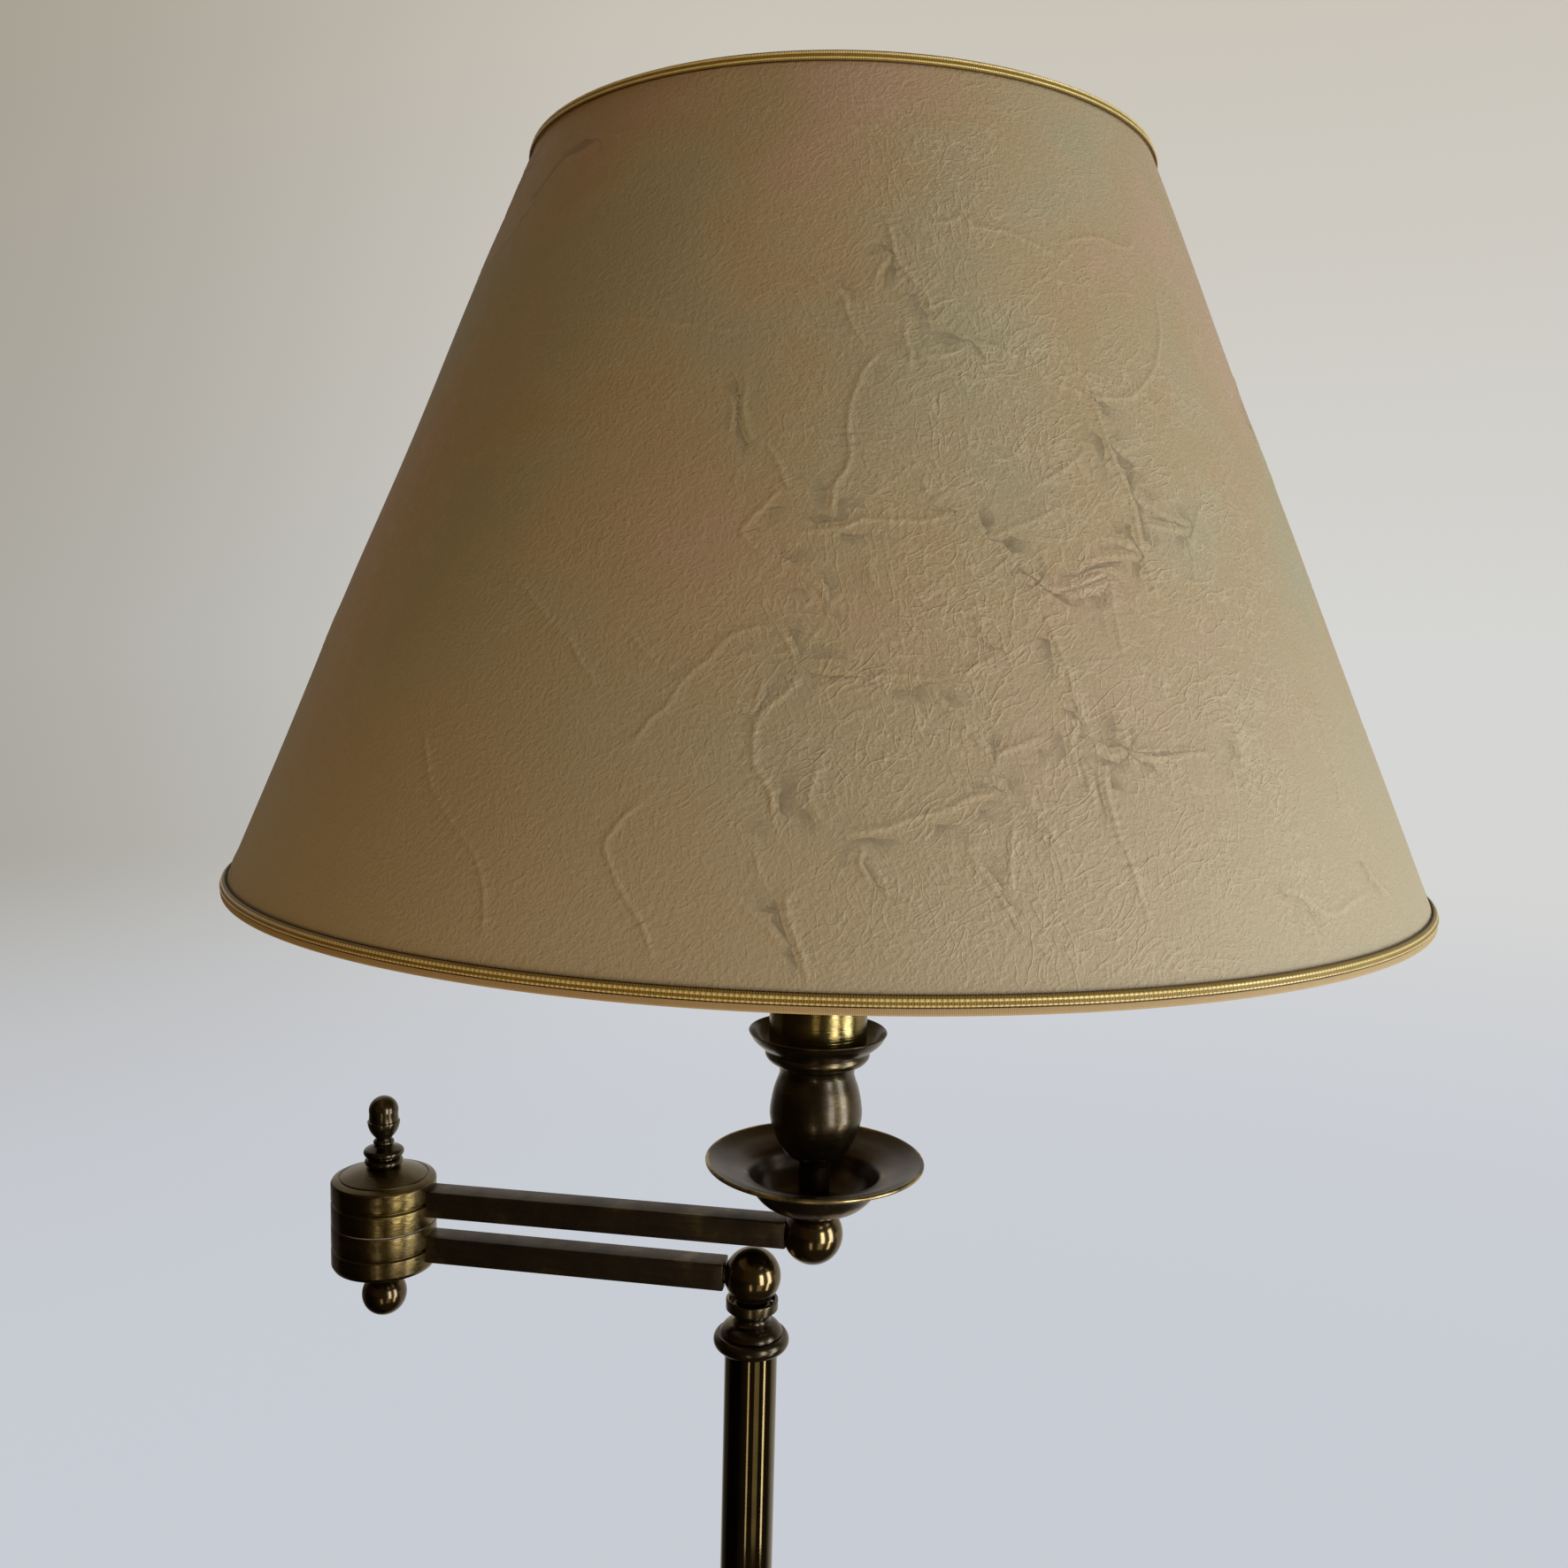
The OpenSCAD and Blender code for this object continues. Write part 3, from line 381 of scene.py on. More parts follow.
def parchment():
    """Vegetable parchment, crumpled wet, dried flat and waxed.

    The long creases are in the mesh, whose crease attribute is 1 on a crest. Puckers 2 to 3 mm apart
    run across each crease. Between them lie short straight wrinkles in three directions, crowded
    where the crowd attribute is high, and a fine leathery grain lies over all. The crests and the
    crowded wrinkles are painted a little paler, a painted highlight. The dye drifts from tan to a
    faint pink and a faint green, and is painted paler towards the bottom: painted light."""
    made, tree = new_material("parchment")
    coords = add_node(tree, "ShaderNodeTexCoord").outputs["Object"]
    crest = add_node(tree, "ShaderNodeAttribute", {"attribute_name": "crease"}).outputs["Fac"]
    crowd = add_node(tree, "ShaderNodeAttribute", {"attribute_name": "crowd"}).outputs["Fac"]
    beside = add_node(tree, "ShaderNodeAttribute", {"attribute_name": "beside"}).outputs["Fac"]
    along = add_node(tree, "ShaderNodeAttribute", {"attribute_name": "along"}).outputs["Fac"]
    flat = add_node(tree, "ShaderNodeAttribute", {"attribute_name": "flat"}).outputs["Vector"]
    bend = add_node(tree, "ShaderNodeTexNoise", {"Scale": 70.0, "Detail": 2.0, "Roughness": 0.5},
                    {"Vector": flat})
    centred = add_node(tree, "ShaderNodeVectorMath", {"operation": "SUBTRACT", 1: (0.5, 0.5, 0.5)},
                       {0: bend.outputs["Color"]})
    bent = add_node(tree, "ShaderNodeVectorMath", {"operation": "MULTIPLY_ADD", 1: (7 * MM,) * 3},
                    {0: centred, 2: flat}).outputs[0]
    first = wrinkles(tree, bent, 15, 1.0)
    second = wrinkles(tree, bent, 78, 6.0)
    third = wrinkles(tree, bent, 131, 11.0)
    fine = add_node(tree, "ShaderNodeTexNoise", {"Scale": 620.0, "Detail": 3.0, "Roughness": 0.6},
                    {"Vector": flat})
    # real grain is 0.3 mm, and is drawn at 0.8 mm so that it shows
    grain = add_node(tree, "ShaderNodeTexNoise", {"Scale": 1250.0, "Detail": 2.0, "Roughness": 0.6},
                     {"Vector": coords})
    pucker = add_node(tree, "ShaderNodeTexNoise", {"noise_dimensions": "1D", "Scale": 0.42,
                                                   "Detail": 1.0, "Roughness": 0.5}, {"W": along})
    level = add_node(tree, "ShaderNodeMath", {"operation": "SUBTRACT", 1: 0.5}, {0: pucker})
    puckered = add_node(tree, "ShaderNodeMath", {"operation": "MULTIPLY"}, {0: level, 1: beside})
    two = add_node(tree, "ShaderNodeMath", {"operation": "ADD"}, {0: first, 1: second})
    lines = add_node(tree, "ShaderNodeMath", {"operation": "ADD"}, {0: two, 1: third})
    crowded = add_node(tree, "ShaderNodeMath", {"operation": "MULTIPLY"}, {0: lines, 1: crowd})
    soft = add_node(tree, "ShaderNodeMath", {"operation": "MULTIPLY", 1: 0.85}, {0: crowded})
    both = add_node(tree, "ShaderNodeMath", {"operation": "MULTIPLY_ADD", 1: 2.2},
                    {0: puckered, 2: soft})
    leathery = add_node(tree, "ShaderNodeMath", {"operation": "MULTIPLY_ADD", 1: 2.5},
                        {0: fine, 2: both})
    whole = add_node(tree, "ShaderNodeMath", {"operation": "MULTIPLY_ADD", 1: 1.5},
                     {0: grain, 2: leathery})
    bump = add_node(tree, "ShaderNodeBump", {"Strength": 1.0, "Distance": 0.13 * MM},
                    {"Height": whole})
    # the dye
    cloud = add_node(tree, "ShaderNodeTexNoise", {"noise_dimensions": "4D", "Scale": 9.0, "Detail": 3.0,
                                                  "Roughness": 0.6, "W": 4.0}, {"Vector": coords})
    dye = add_node(tree, "ShaderNodeValToRGB", {"stops": [
        (0.40, colour("#aba07a")), (0.47, colour("#b2a077")), (0.53, colour("#b39c72")),
        (0.60, colour("#b99c78"))]}, {"Fac": cloud})
    # painted light: the paper is painted paler towards the bottom, as if lit more strongly there
    height = add_node(tree, "ShaderNodeSeparateXYZ", links={0: coords}).outputs[2]
    painted_light_low = add_node(tree, "ShaderNodeMapRange", {
        "interpolation_type": "SMOOTHSTEP", "From Min": (SHADE_LOW + 170) * MM,
        "From Max": (SHADE_LOW - 20) * MM}, {"Value": height})
    dye_with_painted_light = add_node(tree, "ShaderNodeMix", {"data_type": "RGBA", MIX_B: colour("#bdad88")},
                        {"Factor": painted_light_low, MIX_A: dye})
    # painted highlight: the crests and the crowded wrinkles are painted paler
    pale = add_node(tree, "ShaderNodeMath", {"operation": "MULTIPLY_ADD", 1: 0.35},
                    {0: crest, 2: crowded})
    crest_highlight = add_node(tree, "ShaderNodeMath", {"operation": "MULTIPLY", 1: 0.14, "use_clamp": True},
                      {0: pale})
    tint = add_node(tree, "ShaderNodeMix", {"data_type": "RGBA", MIX_B: colour("#dccba6")},
                    {"Factor": crest_highlight, MIX_A: dye_with_painted_light.outputs[MIX_RESULT]})
    dull = add_node(tree, "ShaderNodeMapRange", {"To Min": 0.5, "To Max": 0.68}, {"Value": grain})
    finish_material(tree, {"IOR": 1.45, "Specular IOR Level": 0.35},
                    {"Base Color": tint.outputs[MIX_RESULT], "Roughness": dull, "Normal": bump})
    return made


def around(tree, per_turn):
    """Threads per turn about the candle's axis, as a wave from 0 to 1."""
    coords = add_node(tree, "ShaderNodeTexCoord").outputs["Object"]
    centred = add_node(tree, "ShaderNodeMapping", {"Location": (-candle.x, -candle.y, 0)},
                       {"Vector": coords})
    parts = add_node(tree, "ShaderNodeSeparateXYZ", links={0: centred})
    angle = add_node(tree, "ShaderNodeMath", {"operation": "ARCTAN2"},
                     {0: parts.outputs[1], 1: parts.outputs[0]})
    turns = add_node(tree, "ShaderNodeMath", {"operation": "MULTIPLY", 1: float(per_turn)}, {0: angle})
    wave = add_node(tree, "ShaderNodeMath", {"operation": "SINE"}, {0: turns})
    return coords, add_node(tree, "ShaderNodeMath", {"operation": "MULTIPLY_ADD", 1: 0.5, 2: 0.5},
                            {0: wave})


def thread_work(name, tones, per_turn, depth, rough, **settings):
    """Thread laid side by side round the shade, uneven from one stitch to the next.

    Each stitch is painted darker at its sides: painted shade between the stitches.
    """
    made, tree = new_material(name)
    coords, stitch = around(tree, per_turn)
    uneven = add_node(tree, "ShaderNodeTexNoise", {"Scale": 500.0, "Roughness": 0.6},
                      {"Vector": coords})
    mixed = add_node(tree, "ShaderNodeMath", {"operation": "MULTIPLY_ADD", 1: 0.5},
                     {0: uneven, 2: stitch})
    # painted shade: the stitch wave darkens the colour where one stitch meets the next
    tint = add_node(tree, "ShaderNodeValToRGB", {"stops": [
        (0.25, colour(tones[0])), (0.7, colour(tones[1])), (1.0, colour(tones[2]))]},
        {"Fac": mixed})
    bump = add_node(tree, "ShaderNodeBump", {"Strength": 1.0, "Distance": depth * MM},
                    {"Height": mixed})
    finish_material(tree, {"Roughness": rough,
                           **{key.replace("_", " "): value for key, value in settings.items()}},
                    {"Base Color": tint, "Normal": bump})
    return made


shade_paper_look = parchment()
# the paper's back is a smooth white film that throws the light down
liner_look = plain("shade_liner", "#cfc6ae", "#ddd5bf", 80, 0.5, 0.02)
# gimp: gilt thread over a flat core, a stitch each 0.7 mm
braid_look = thread_work("gilt_gimp", ("#6b5419", "#94772b", "#b3943f"), 2000, 0.05, 0.42,
                         Metallic=0.15)
# the two raised cords are wound from a paler silk
cord_look = thread_work("silk_cord", ("#c4a650", "#e2c673", "#f6e2a2"), 1000, 0.02, 0.3,
                        Metallic=0.15)
# a dark thread along each side of the braid, whose dark colour is painted shade at the braid's edges
shadow_thread_look = thread_work("brown_shadow_thread", ("#2b1a04", "#3f2a08", "#5a3e10"), 1000, 0.03, 0.6)
# bias tape in plain cotton
tape_look = thread_work("cotton_tape", ("#ad905f", "#ba9d69", "#c6aa75"), 2600, 0.015, 0.75)

slot_looks = {"parchment": shade_paper_look, "gold_braid": braid_look, "tan_tape": tape_look,
              **plainly}

# ------------------------------------------------------------------ modelling tools


def deselect():
    bpy.ops.object.select_all(action="DESELECT")


def edit():
    bpy.ops.object.mode_set(mode="EDIT")
    bpy.ops.mesh.select_all(action="SELECT")


def arc(x, z, r, first, last, steps=8):
    """Points of an arc round (x, z), between two angles in degrees."""
    turns = [math.radians(first + (last - first) * i / steps) for i in range(steps + 1)]
    return [(x + r * math.cos(t), z + r * math.sin(t)) for t in turns]


def curve(points, steps=4):
    """Smooth line through the given points."""
    out = []
    last = len(points) - 1
    for i in range(last):
        a, b, c, d = (points[k] for k in (max(i - 1, 0), i, i + 1, min(i + 2, last)))
        for step in range(steps):
            t = step / steps
            out.append(tuple(
                0.5 * (2 * b[k] + (c[k] - a[k]) * t + (2 * a[k] - 5 * b[k] + 4 * c[k] - d[k]) * t * t
                       + (3 * b[k] - a[k] - 3 * c[k] + d[k]) * t ** 3) for k in (0, 1)))
    return out + [tuple(points[last])]


def soften(points, radius, sharp=24):
    """Rounds the corners of an outline. Its ends stay, because they lie in a bore or on the axis."""
    out = [Vector(points[0])]
    spots = [Vector(p) for p in points]
    for a, b, c in zip(spots, spots[1:], spots[2:]):
        into, away = b - a, c - b
        if into.length < 1e-6 or away.length < 1e-6:
            continue
        bend = into.angle(away)
        if math.degrees(bend) < sharp:
            out.append(b)
            continue
        cut = min(radius * math.tan(min(bend, 2.6) / 2), 0.45 * into.length, 0.45 * away.length)
        start, end = b - into.normalized() * cut, b + away.normalized() * cut
        for t in (0, 0.34, 0.66, 1):
            out.append(start * (1 - t) ** 2 + b * 2 * t * (1 - t) + end * t * t)
    return [tuple(p) for p in out + [spots[-1]]]


def lathe(name, place, outline, steps=128, smooth=38):
    """Extrudes a point along an outline of (radius, height) in mm and spins it round place's axis."""
    deselect()
    bpy.ops.mesh.primitive_plane_add(size=MM, location=(0, 0, 0))
    piece = bpy.context.object
    piece.name = piece.data.name = name
    edit()
    bpy.ops.mesh.merge(type="CENTER")
    spots = [place + Vector((radius, 0, height)) * MM for radius, height in outline]
    bpy.ops.transform.translate(value=spots[0])
    for here, there in zip(spots, spots[1:]):
        bpy.ops.mesh.extrude_region_move(TRANSFORM_OT_translate={"value": there - here})
    bpy.ops.mesh.select_all(action="SELECT")
    bpy.ops.mesh.spin(steps=steps, angle=TURN, center=(place.x, place.y, 0), axis=(0, 0, 1))
    bpy.ops.mesh.select_all(action="SELECT")
    bpy.ops.mesh.remove_doubles(threshold=0.002 * MM)
    bpy.ops.mesh.normals_make_consistent(inside=False)
    bpy.ops.object.mode_set(mode="OBJECT")
    bpy.ops.object.shade_smooth_by_angle(angle=math.radians(smooth))
    return piece


def closed(outline):
    """An outline that ends where it starts, for a ring or a tube."""
    return list(outline) + [outline[0]]


def settle(piece, body, slot, look_of, *nodes):
    """Gives a piece its material, and sets it on its body in place of CAD nodes. slot is not used."""
    if not piece.data.materials:
        piece.data.materials.append(look_of)
    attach(piece, body)
    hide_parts(*nodes)
    return piece


def bar(name, place, way, start, end):
    """Square bar along way, from start to end in mm, with its long edges rounded."""
    deselect()
    turn = math.atan2(way.y, way.x)
    mid = place + way * (start + end) / 2 * MM
    bpy.ops.mesh.primitive_cube_add(size=1, location=mid, rotation=(0, 0, turn),
                                    scale=((end - start) * MM, ARM_SIDE * MM, ARM_SIDE * MM))
    piece = bpy.context.object
    piece.name = piece.data.name = name
    bpy.ops.object.transform_apply(location=True, rotation=True, scale=True)
    bevel = piece.modifiers.new("edges", "BEVEL")
    bevel.width = 0.7 * MM
    bevel.segments = 4
    bpy.ops.object.modifier_apply(modifier=bevel.name)
    # rings of points along the bar, which the stains and the rubbed edges follow
    edit()
    for share in np.linspace(0.04, 0.96, 24):
        spot = place + way * (start + (end - start) * share) * MM
        bpy.ops.mesh.select_all(action="SELECT")
        bpy.ops.mesh.bisect(plane_co=spot, plane_no=way)
    bpy.ops.object.mode_set(mode="OBJECT")
    bpy.ops.object.shade_smooth_by_angle(angle=math.radians(30))
    return piece


# ------------------------------------------------------------------ pole and base

BEAD_R, BEAD_RING_R, BEAD_HALF = 3.7, 12.1, 3.1
POLE_R = 11.0
bead_foot = math.degrees(math.asin(BEAD_HALF / BEAD_R))


def bead(z):
    """The round bead that the collar, the coupling and the cap share, from its foot to its top."""
    return arc(BEAD_RING_R, z, BEAD_R, -bead_foot, bead_foot, 22)


collar_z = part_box("base_collar")[0].z
COLLAR_H = 23.6
collar_bead = COLLAR_H - BEAD_HALF
base_collar = lathe("base_collar", at(pole, collar_z), closed(soften(
    [(SCREW_R, COLLAR_H + 20), (SCREW_R, 0), (26.6, 0), (27, 1.2)] + arc(24, 2.8, 3, -10, 90, 6)
    + [(23, 5.8), (22.6, 6)]
    + curve([(22.4, 6.2), (17.4, 8.9), (14.3, 13.4), (13.6, 16.2)], 5)
    + [(14.6, 16.4), (14.6, 18.0), (12.2, 18.2)]
    + bead(collar_bead)[2:] + [(POLE_R, collar_bead + BEAD_HALF), (SPIGOT_R, collar_bead + BEAD_HALF),
                               (SPIGOT_R, COLLAR_H + 20)], 0.35)))
settle(base_collar, "stand", "antique_brass", metals["antique_brass", "pole"], "base_collar")

coupling = middle("pole_coupling")
pole_coupling = lathe("pole_coupling", coupling, closed(soften(
    [(7.2, -28), (SPIGOT_R, -28), (SPIGOT_R, -BEAD_HALF), (POLE_R, -BEAD_HALF)] + bead(0)
    + [(POLE_R, BEAD_HALF), (SPIGOT_R, BEAD_HALF), (SPIGOT_R, 28), (7.2, 28)], 0.3)))
settle(pole_coupling, "stand", "antique_brass", metals["antique_brass", "pole"], "pole_coupling")

BEAD_Z = -27.3
pole_cap = lathe("pole_cap", pole, closed(soften(
    [(8.2, -60), (SPIGOT_R, -60), (SPIGOT_R, BEAD_Z - BEAD_HALF), (POLE_R, BEAD_Z - BEAD_HALF)]
    + arc(BEAD_RING_R, BEAD_Z, BEAD_R, -bead_foot, 54, 20)
    + [(12.6, -24.25), (12.6, -23.65)] + arc(6.4, -26.1, 7.1, 20.6, 74, 12)
    + curve([(8.0, -18.9), (7.5, -18.1), (7.4, -17.2), (7.8, -16.2)], 3)
    + [(10.9, -13.6), (10.9, -9.6), (9.6, -9.6), (9.6, -12.6), (5.06, -12.6), (5.06, -42),
       (8.2, -42)], 0.32)), 144)
settle(pole_cap, "stand", "antique_brass", metals["antique_brass", "pole"], "pole_cap")

# ------------------------------------------------------------------ lower arm and drum

ball_foot = math.degrees(math.asin(9.71 / POLE_BALL_R))
pole_ball = lathe("pole_ball", pole, soften(
    [(0, 4), (SCREW_R, 4), (SCREW_R, -11.8), (6.7, -11.8), (6.7, -9.9)]
    + arc(0, 0, POLE_BALL_R, -ball_foot, 90, 40), 0.2), 96)
settle(pole_ball, "lower_arm_body", "brushed_brass", metals["ball", "pole"], "pole_ball")

LOWER_L = (at(elbow, 0) - at(pole, 0)).length / MM
UPPER_L = (at(candle, 0) - at(elbow, 0)).length / MM
DRUM_CUT = 20.9          # the bars run a little way into the drum's round side
lower_arm = bar("lower_arm", pole, lower_way, 11.5, LOWER_L - DRUM_CUT)
settle(lower_arm, "lower_arm_body", "antique_brass", arm_brass["lower"], "lower_arm")

HUB_R, CHAMBER_R = 6.5, 17.5
SEAT_R = 6.7             # the spring washer's seat in the drum's domed top
elbow_lower = lathe("elbow_lower", elbow, closed(soften(
    [(BOLT_R, -10), (BOLT_R, -20), (19.5, -20), (21.3, -19.2), (DRUM_R, -17.6), (DRUM_R, -11.0),
     (DRUM_R - 1.1, -10.2), (DRUM_R - 1.1, -9.8), (DRUM_R, -9.0), (DRUM_R, -0.2), (CHAMBER_R, -0.2),
     (CHAMBER_R, -16), (HUB_R, -16), (HUB_R, -0.2), (BOLT_R, -0.2)], 0.3)), 160)
settle(elbow_lower, "lower_arm_body", "brushed_brass", metals["brushed_brass", "elbow"], "elbow_lower")

BALL_NUT_Z = -33.2
nut_neck = math.degrees(math.acos(5.5 / BALL_NUT_R))
ball_nut = lathe("ball_nut", elbow, soften(
    [(0, BALL_NUT_Z - BALL_NUT_R)] + arc(0, BALL_NUT_Z, BALL_NUT_R, -88, nut_neck, 36)
    + [(5.5, -20), (BOLT_R, -20), (BOLT_R, -35.2), (0, -35.2)], 0.2), 96)
settle(ball_nut, "lower_arm_body", "brushed_brass", metals["ball", "elbow"], "ball_nut")

SPOOL = 20.7
finial_spool = lathe("finial_spool", elbow, closed(soften(
    [(BOLT_R, SPOOL + 1.2), (6.1, SPOOL + 1.2), (6.1, SPOOL + 3.6)]
    + arc(6.45, SPOOL + 5.3, 1.6, -80, 80, 12) + [(6.1, SPOOL + 7.0), (6.1, SPOOL + 7.8)]
    + arc(6.95, SPOOL + 9.4, 1.55, -80, 50, 10)
    + curve([(7.5, SPOOL + 10.9), (5.6, SPOOL + 11.6), (4.4, SPOOL + 12.1), (3.9, SPOOL + 12.7)], 3)
    + [(BOLT_R, SPOOL + 12.7)], 0.15)), 96)
settle(finial_spool, "lower_arm_body", "antique_brass", metals["antique_brass", "elbow"],
       "finial_spool")

ACORN = SPOOL + 12.7
acorn_finial = lathe("acorn_finial", elbow, soften(
    [(0, ACORN + 6), (BOLT_R, ACORN + 6), (BOLT_R, ACORN), (3.4, ACORN)]
    + arc(3.4, ACORN + 1.1, 1.0, -70, 70, 8)
    + [(3.7, ACORN + 2.4)]
    + arc(-3.2, ACORN + 10.6, 10, -54, -2.5, 14)
    + [(6.75, ACORN + 10.35), (6.1, ACORN + 10.5), (6.15, ACORN + 12)]
    + arc(0, ACORN + 14.9, 6.2, -12, 90, 24), 0.18), 96)
settle(acorn_finial, "lower_arm_body", "antique_brass", metals["antique_brass", "elbow"],
       "acorn_finial")

# ------------------------------------------------------------------ upper arm and candle

elbow_upper = lathe("elbow_upper", elbow, closed(soften(
    [(BOLT_R, 10), (BOLT_R, 0.2), (HUB_R, 0.2), (HUB_R, 16), (CHAMBER_R, 16), (CHAMBER_R, 0.2),
     (DRUM_R, 0.2), (DRUM_R, 9.0), (DRUM_R - 1.1, 9.8), (DRUM_R - 1.1, 10.2), (DRUM_R, 11.0),
     (DRUM_R, 17.8), (21.5, 18.8), (18.9, 19.8), (18.7, 19.4), (18.3, 19.4)]
    + curve([(18.2, 20.0), (14.5, 21.5), (10.5, 22.9), (7.2, 23.8)], 4)
    + [(SEAT_R, 23.8), (SEAT_R, 20.7), (BOLT_R, 20.7)], 0.3)), 160)
settle(elbow_upper, "upper_arm_body", "brushed_brass", metals["brushed_brass", "elbow"], "elbow_upper")

upper_arm = bar("upper_arm", at(elbow, UPPER_Z), upper_way, DRUM_CUT, UPPER_L - 10.5)
settle(upper_arm, "upper_arm_body", "antique_brass", arm_brass["upper"], "upper_arm")

flat_at = math.degrees(math.asin(9 / END_BALL_R))
end_ball = lathe("end_ball", candle, soften(
    [(0, -END_BALL_R)] + arc(0, 0, END_BALL_R, -88, flat_at, 40)
    + [(SCREW_R, 9), (SCREW_R, -6), (0, -6)], 0.2), 96)
settle(end_ball, "upper_arm_body", "brushed_brass", metals["ball", "candle"], "end_ball")

dish_ring = lathe("dish_ring", candle, closed(soften(
    [(SCREW_R, 10), (SCREW_R, 9), (9.3, 9), (9.3, 11.4), (SCREW_R, 11.4)], 0.5)), 96)
settle(dish_ring, "upper_arm_body", "brushed_brass", metals["brushed_brass", "candle"], "dish_ring")

dish_under = [(10, 0), (15, 0.5), (20, 2.4), (24.2, 6.2), (26.8, 10.6), (29, 13.7), (33, 15.6),
              (38.6, 17.3), (43.7, 19.1)]
dish_inside = [(43.7, 20.9), (38.2, 18.8), (32.2, 17.2), (27.4, 15.2), (25, 11.4), (22.6, 7.2),
               (19, 3.8), (14.6, 1.9), (10, 1.4)]
drip_dish = lathe("drip_dish", candle + Vector((0, 0, 11.4 * MM)), closed(
    [(SCREW_R, 0)] + curve(dish_under, 5) + arc(43.95, 20, 0.9, -70, 80, 10)
    + curve(dish_inside, 5) + [(SCREW_R, 1.4)]), 192)
settle(drip_dish, "upper_arm_body", "antique_brass", metals["dish"], "drip_dish")

STEM_R = 6.4             # the dish's stem, and the cup's foot that continues it
cup_outside = ([(STEM_R, 0), (STEM_R, 2.4)]
               + curve([(8, 2.4), (12.2, 5), (15.6, 10.2), (18.1, 16.8), (18.9, 22.6), (17.5, 31.2),
                        (15.3, 37.9), (15.9, 41.4)], 5)
               + curve([(16.4, 42.3), (19.6, 43.7), (21.3, 46), (21, 47.9)], 4)
               + curve([(21.7, 48.5), (24, 50.3), (26.4, 52.6), (28.2, 55.7)], 4))
cup_inside = curve([(27.3, 55.4), (25.2, 52.4), (22.6, 50.2), (20.2, 49.2)], 4)
candle_cup = lathe("candle_cup", candle + Vector((0, 0, 30 * MM)), closed(soften(
    [(SCREW_R, 4), (SCREW_R, 0)] + cup_outside + [(27.8, 56.1)] + cup_inside
    + [(19.95, 49.2), (19.95, 45.4), (12, 45.4), (12, 14), (9, 14), (9, 8), (SCREW_R, 8)], 0.22)), 160)
settle(candle_cup, "upper_arm_body", "antique_brass", metals["antique_brass", "candle"], "candle_cup")
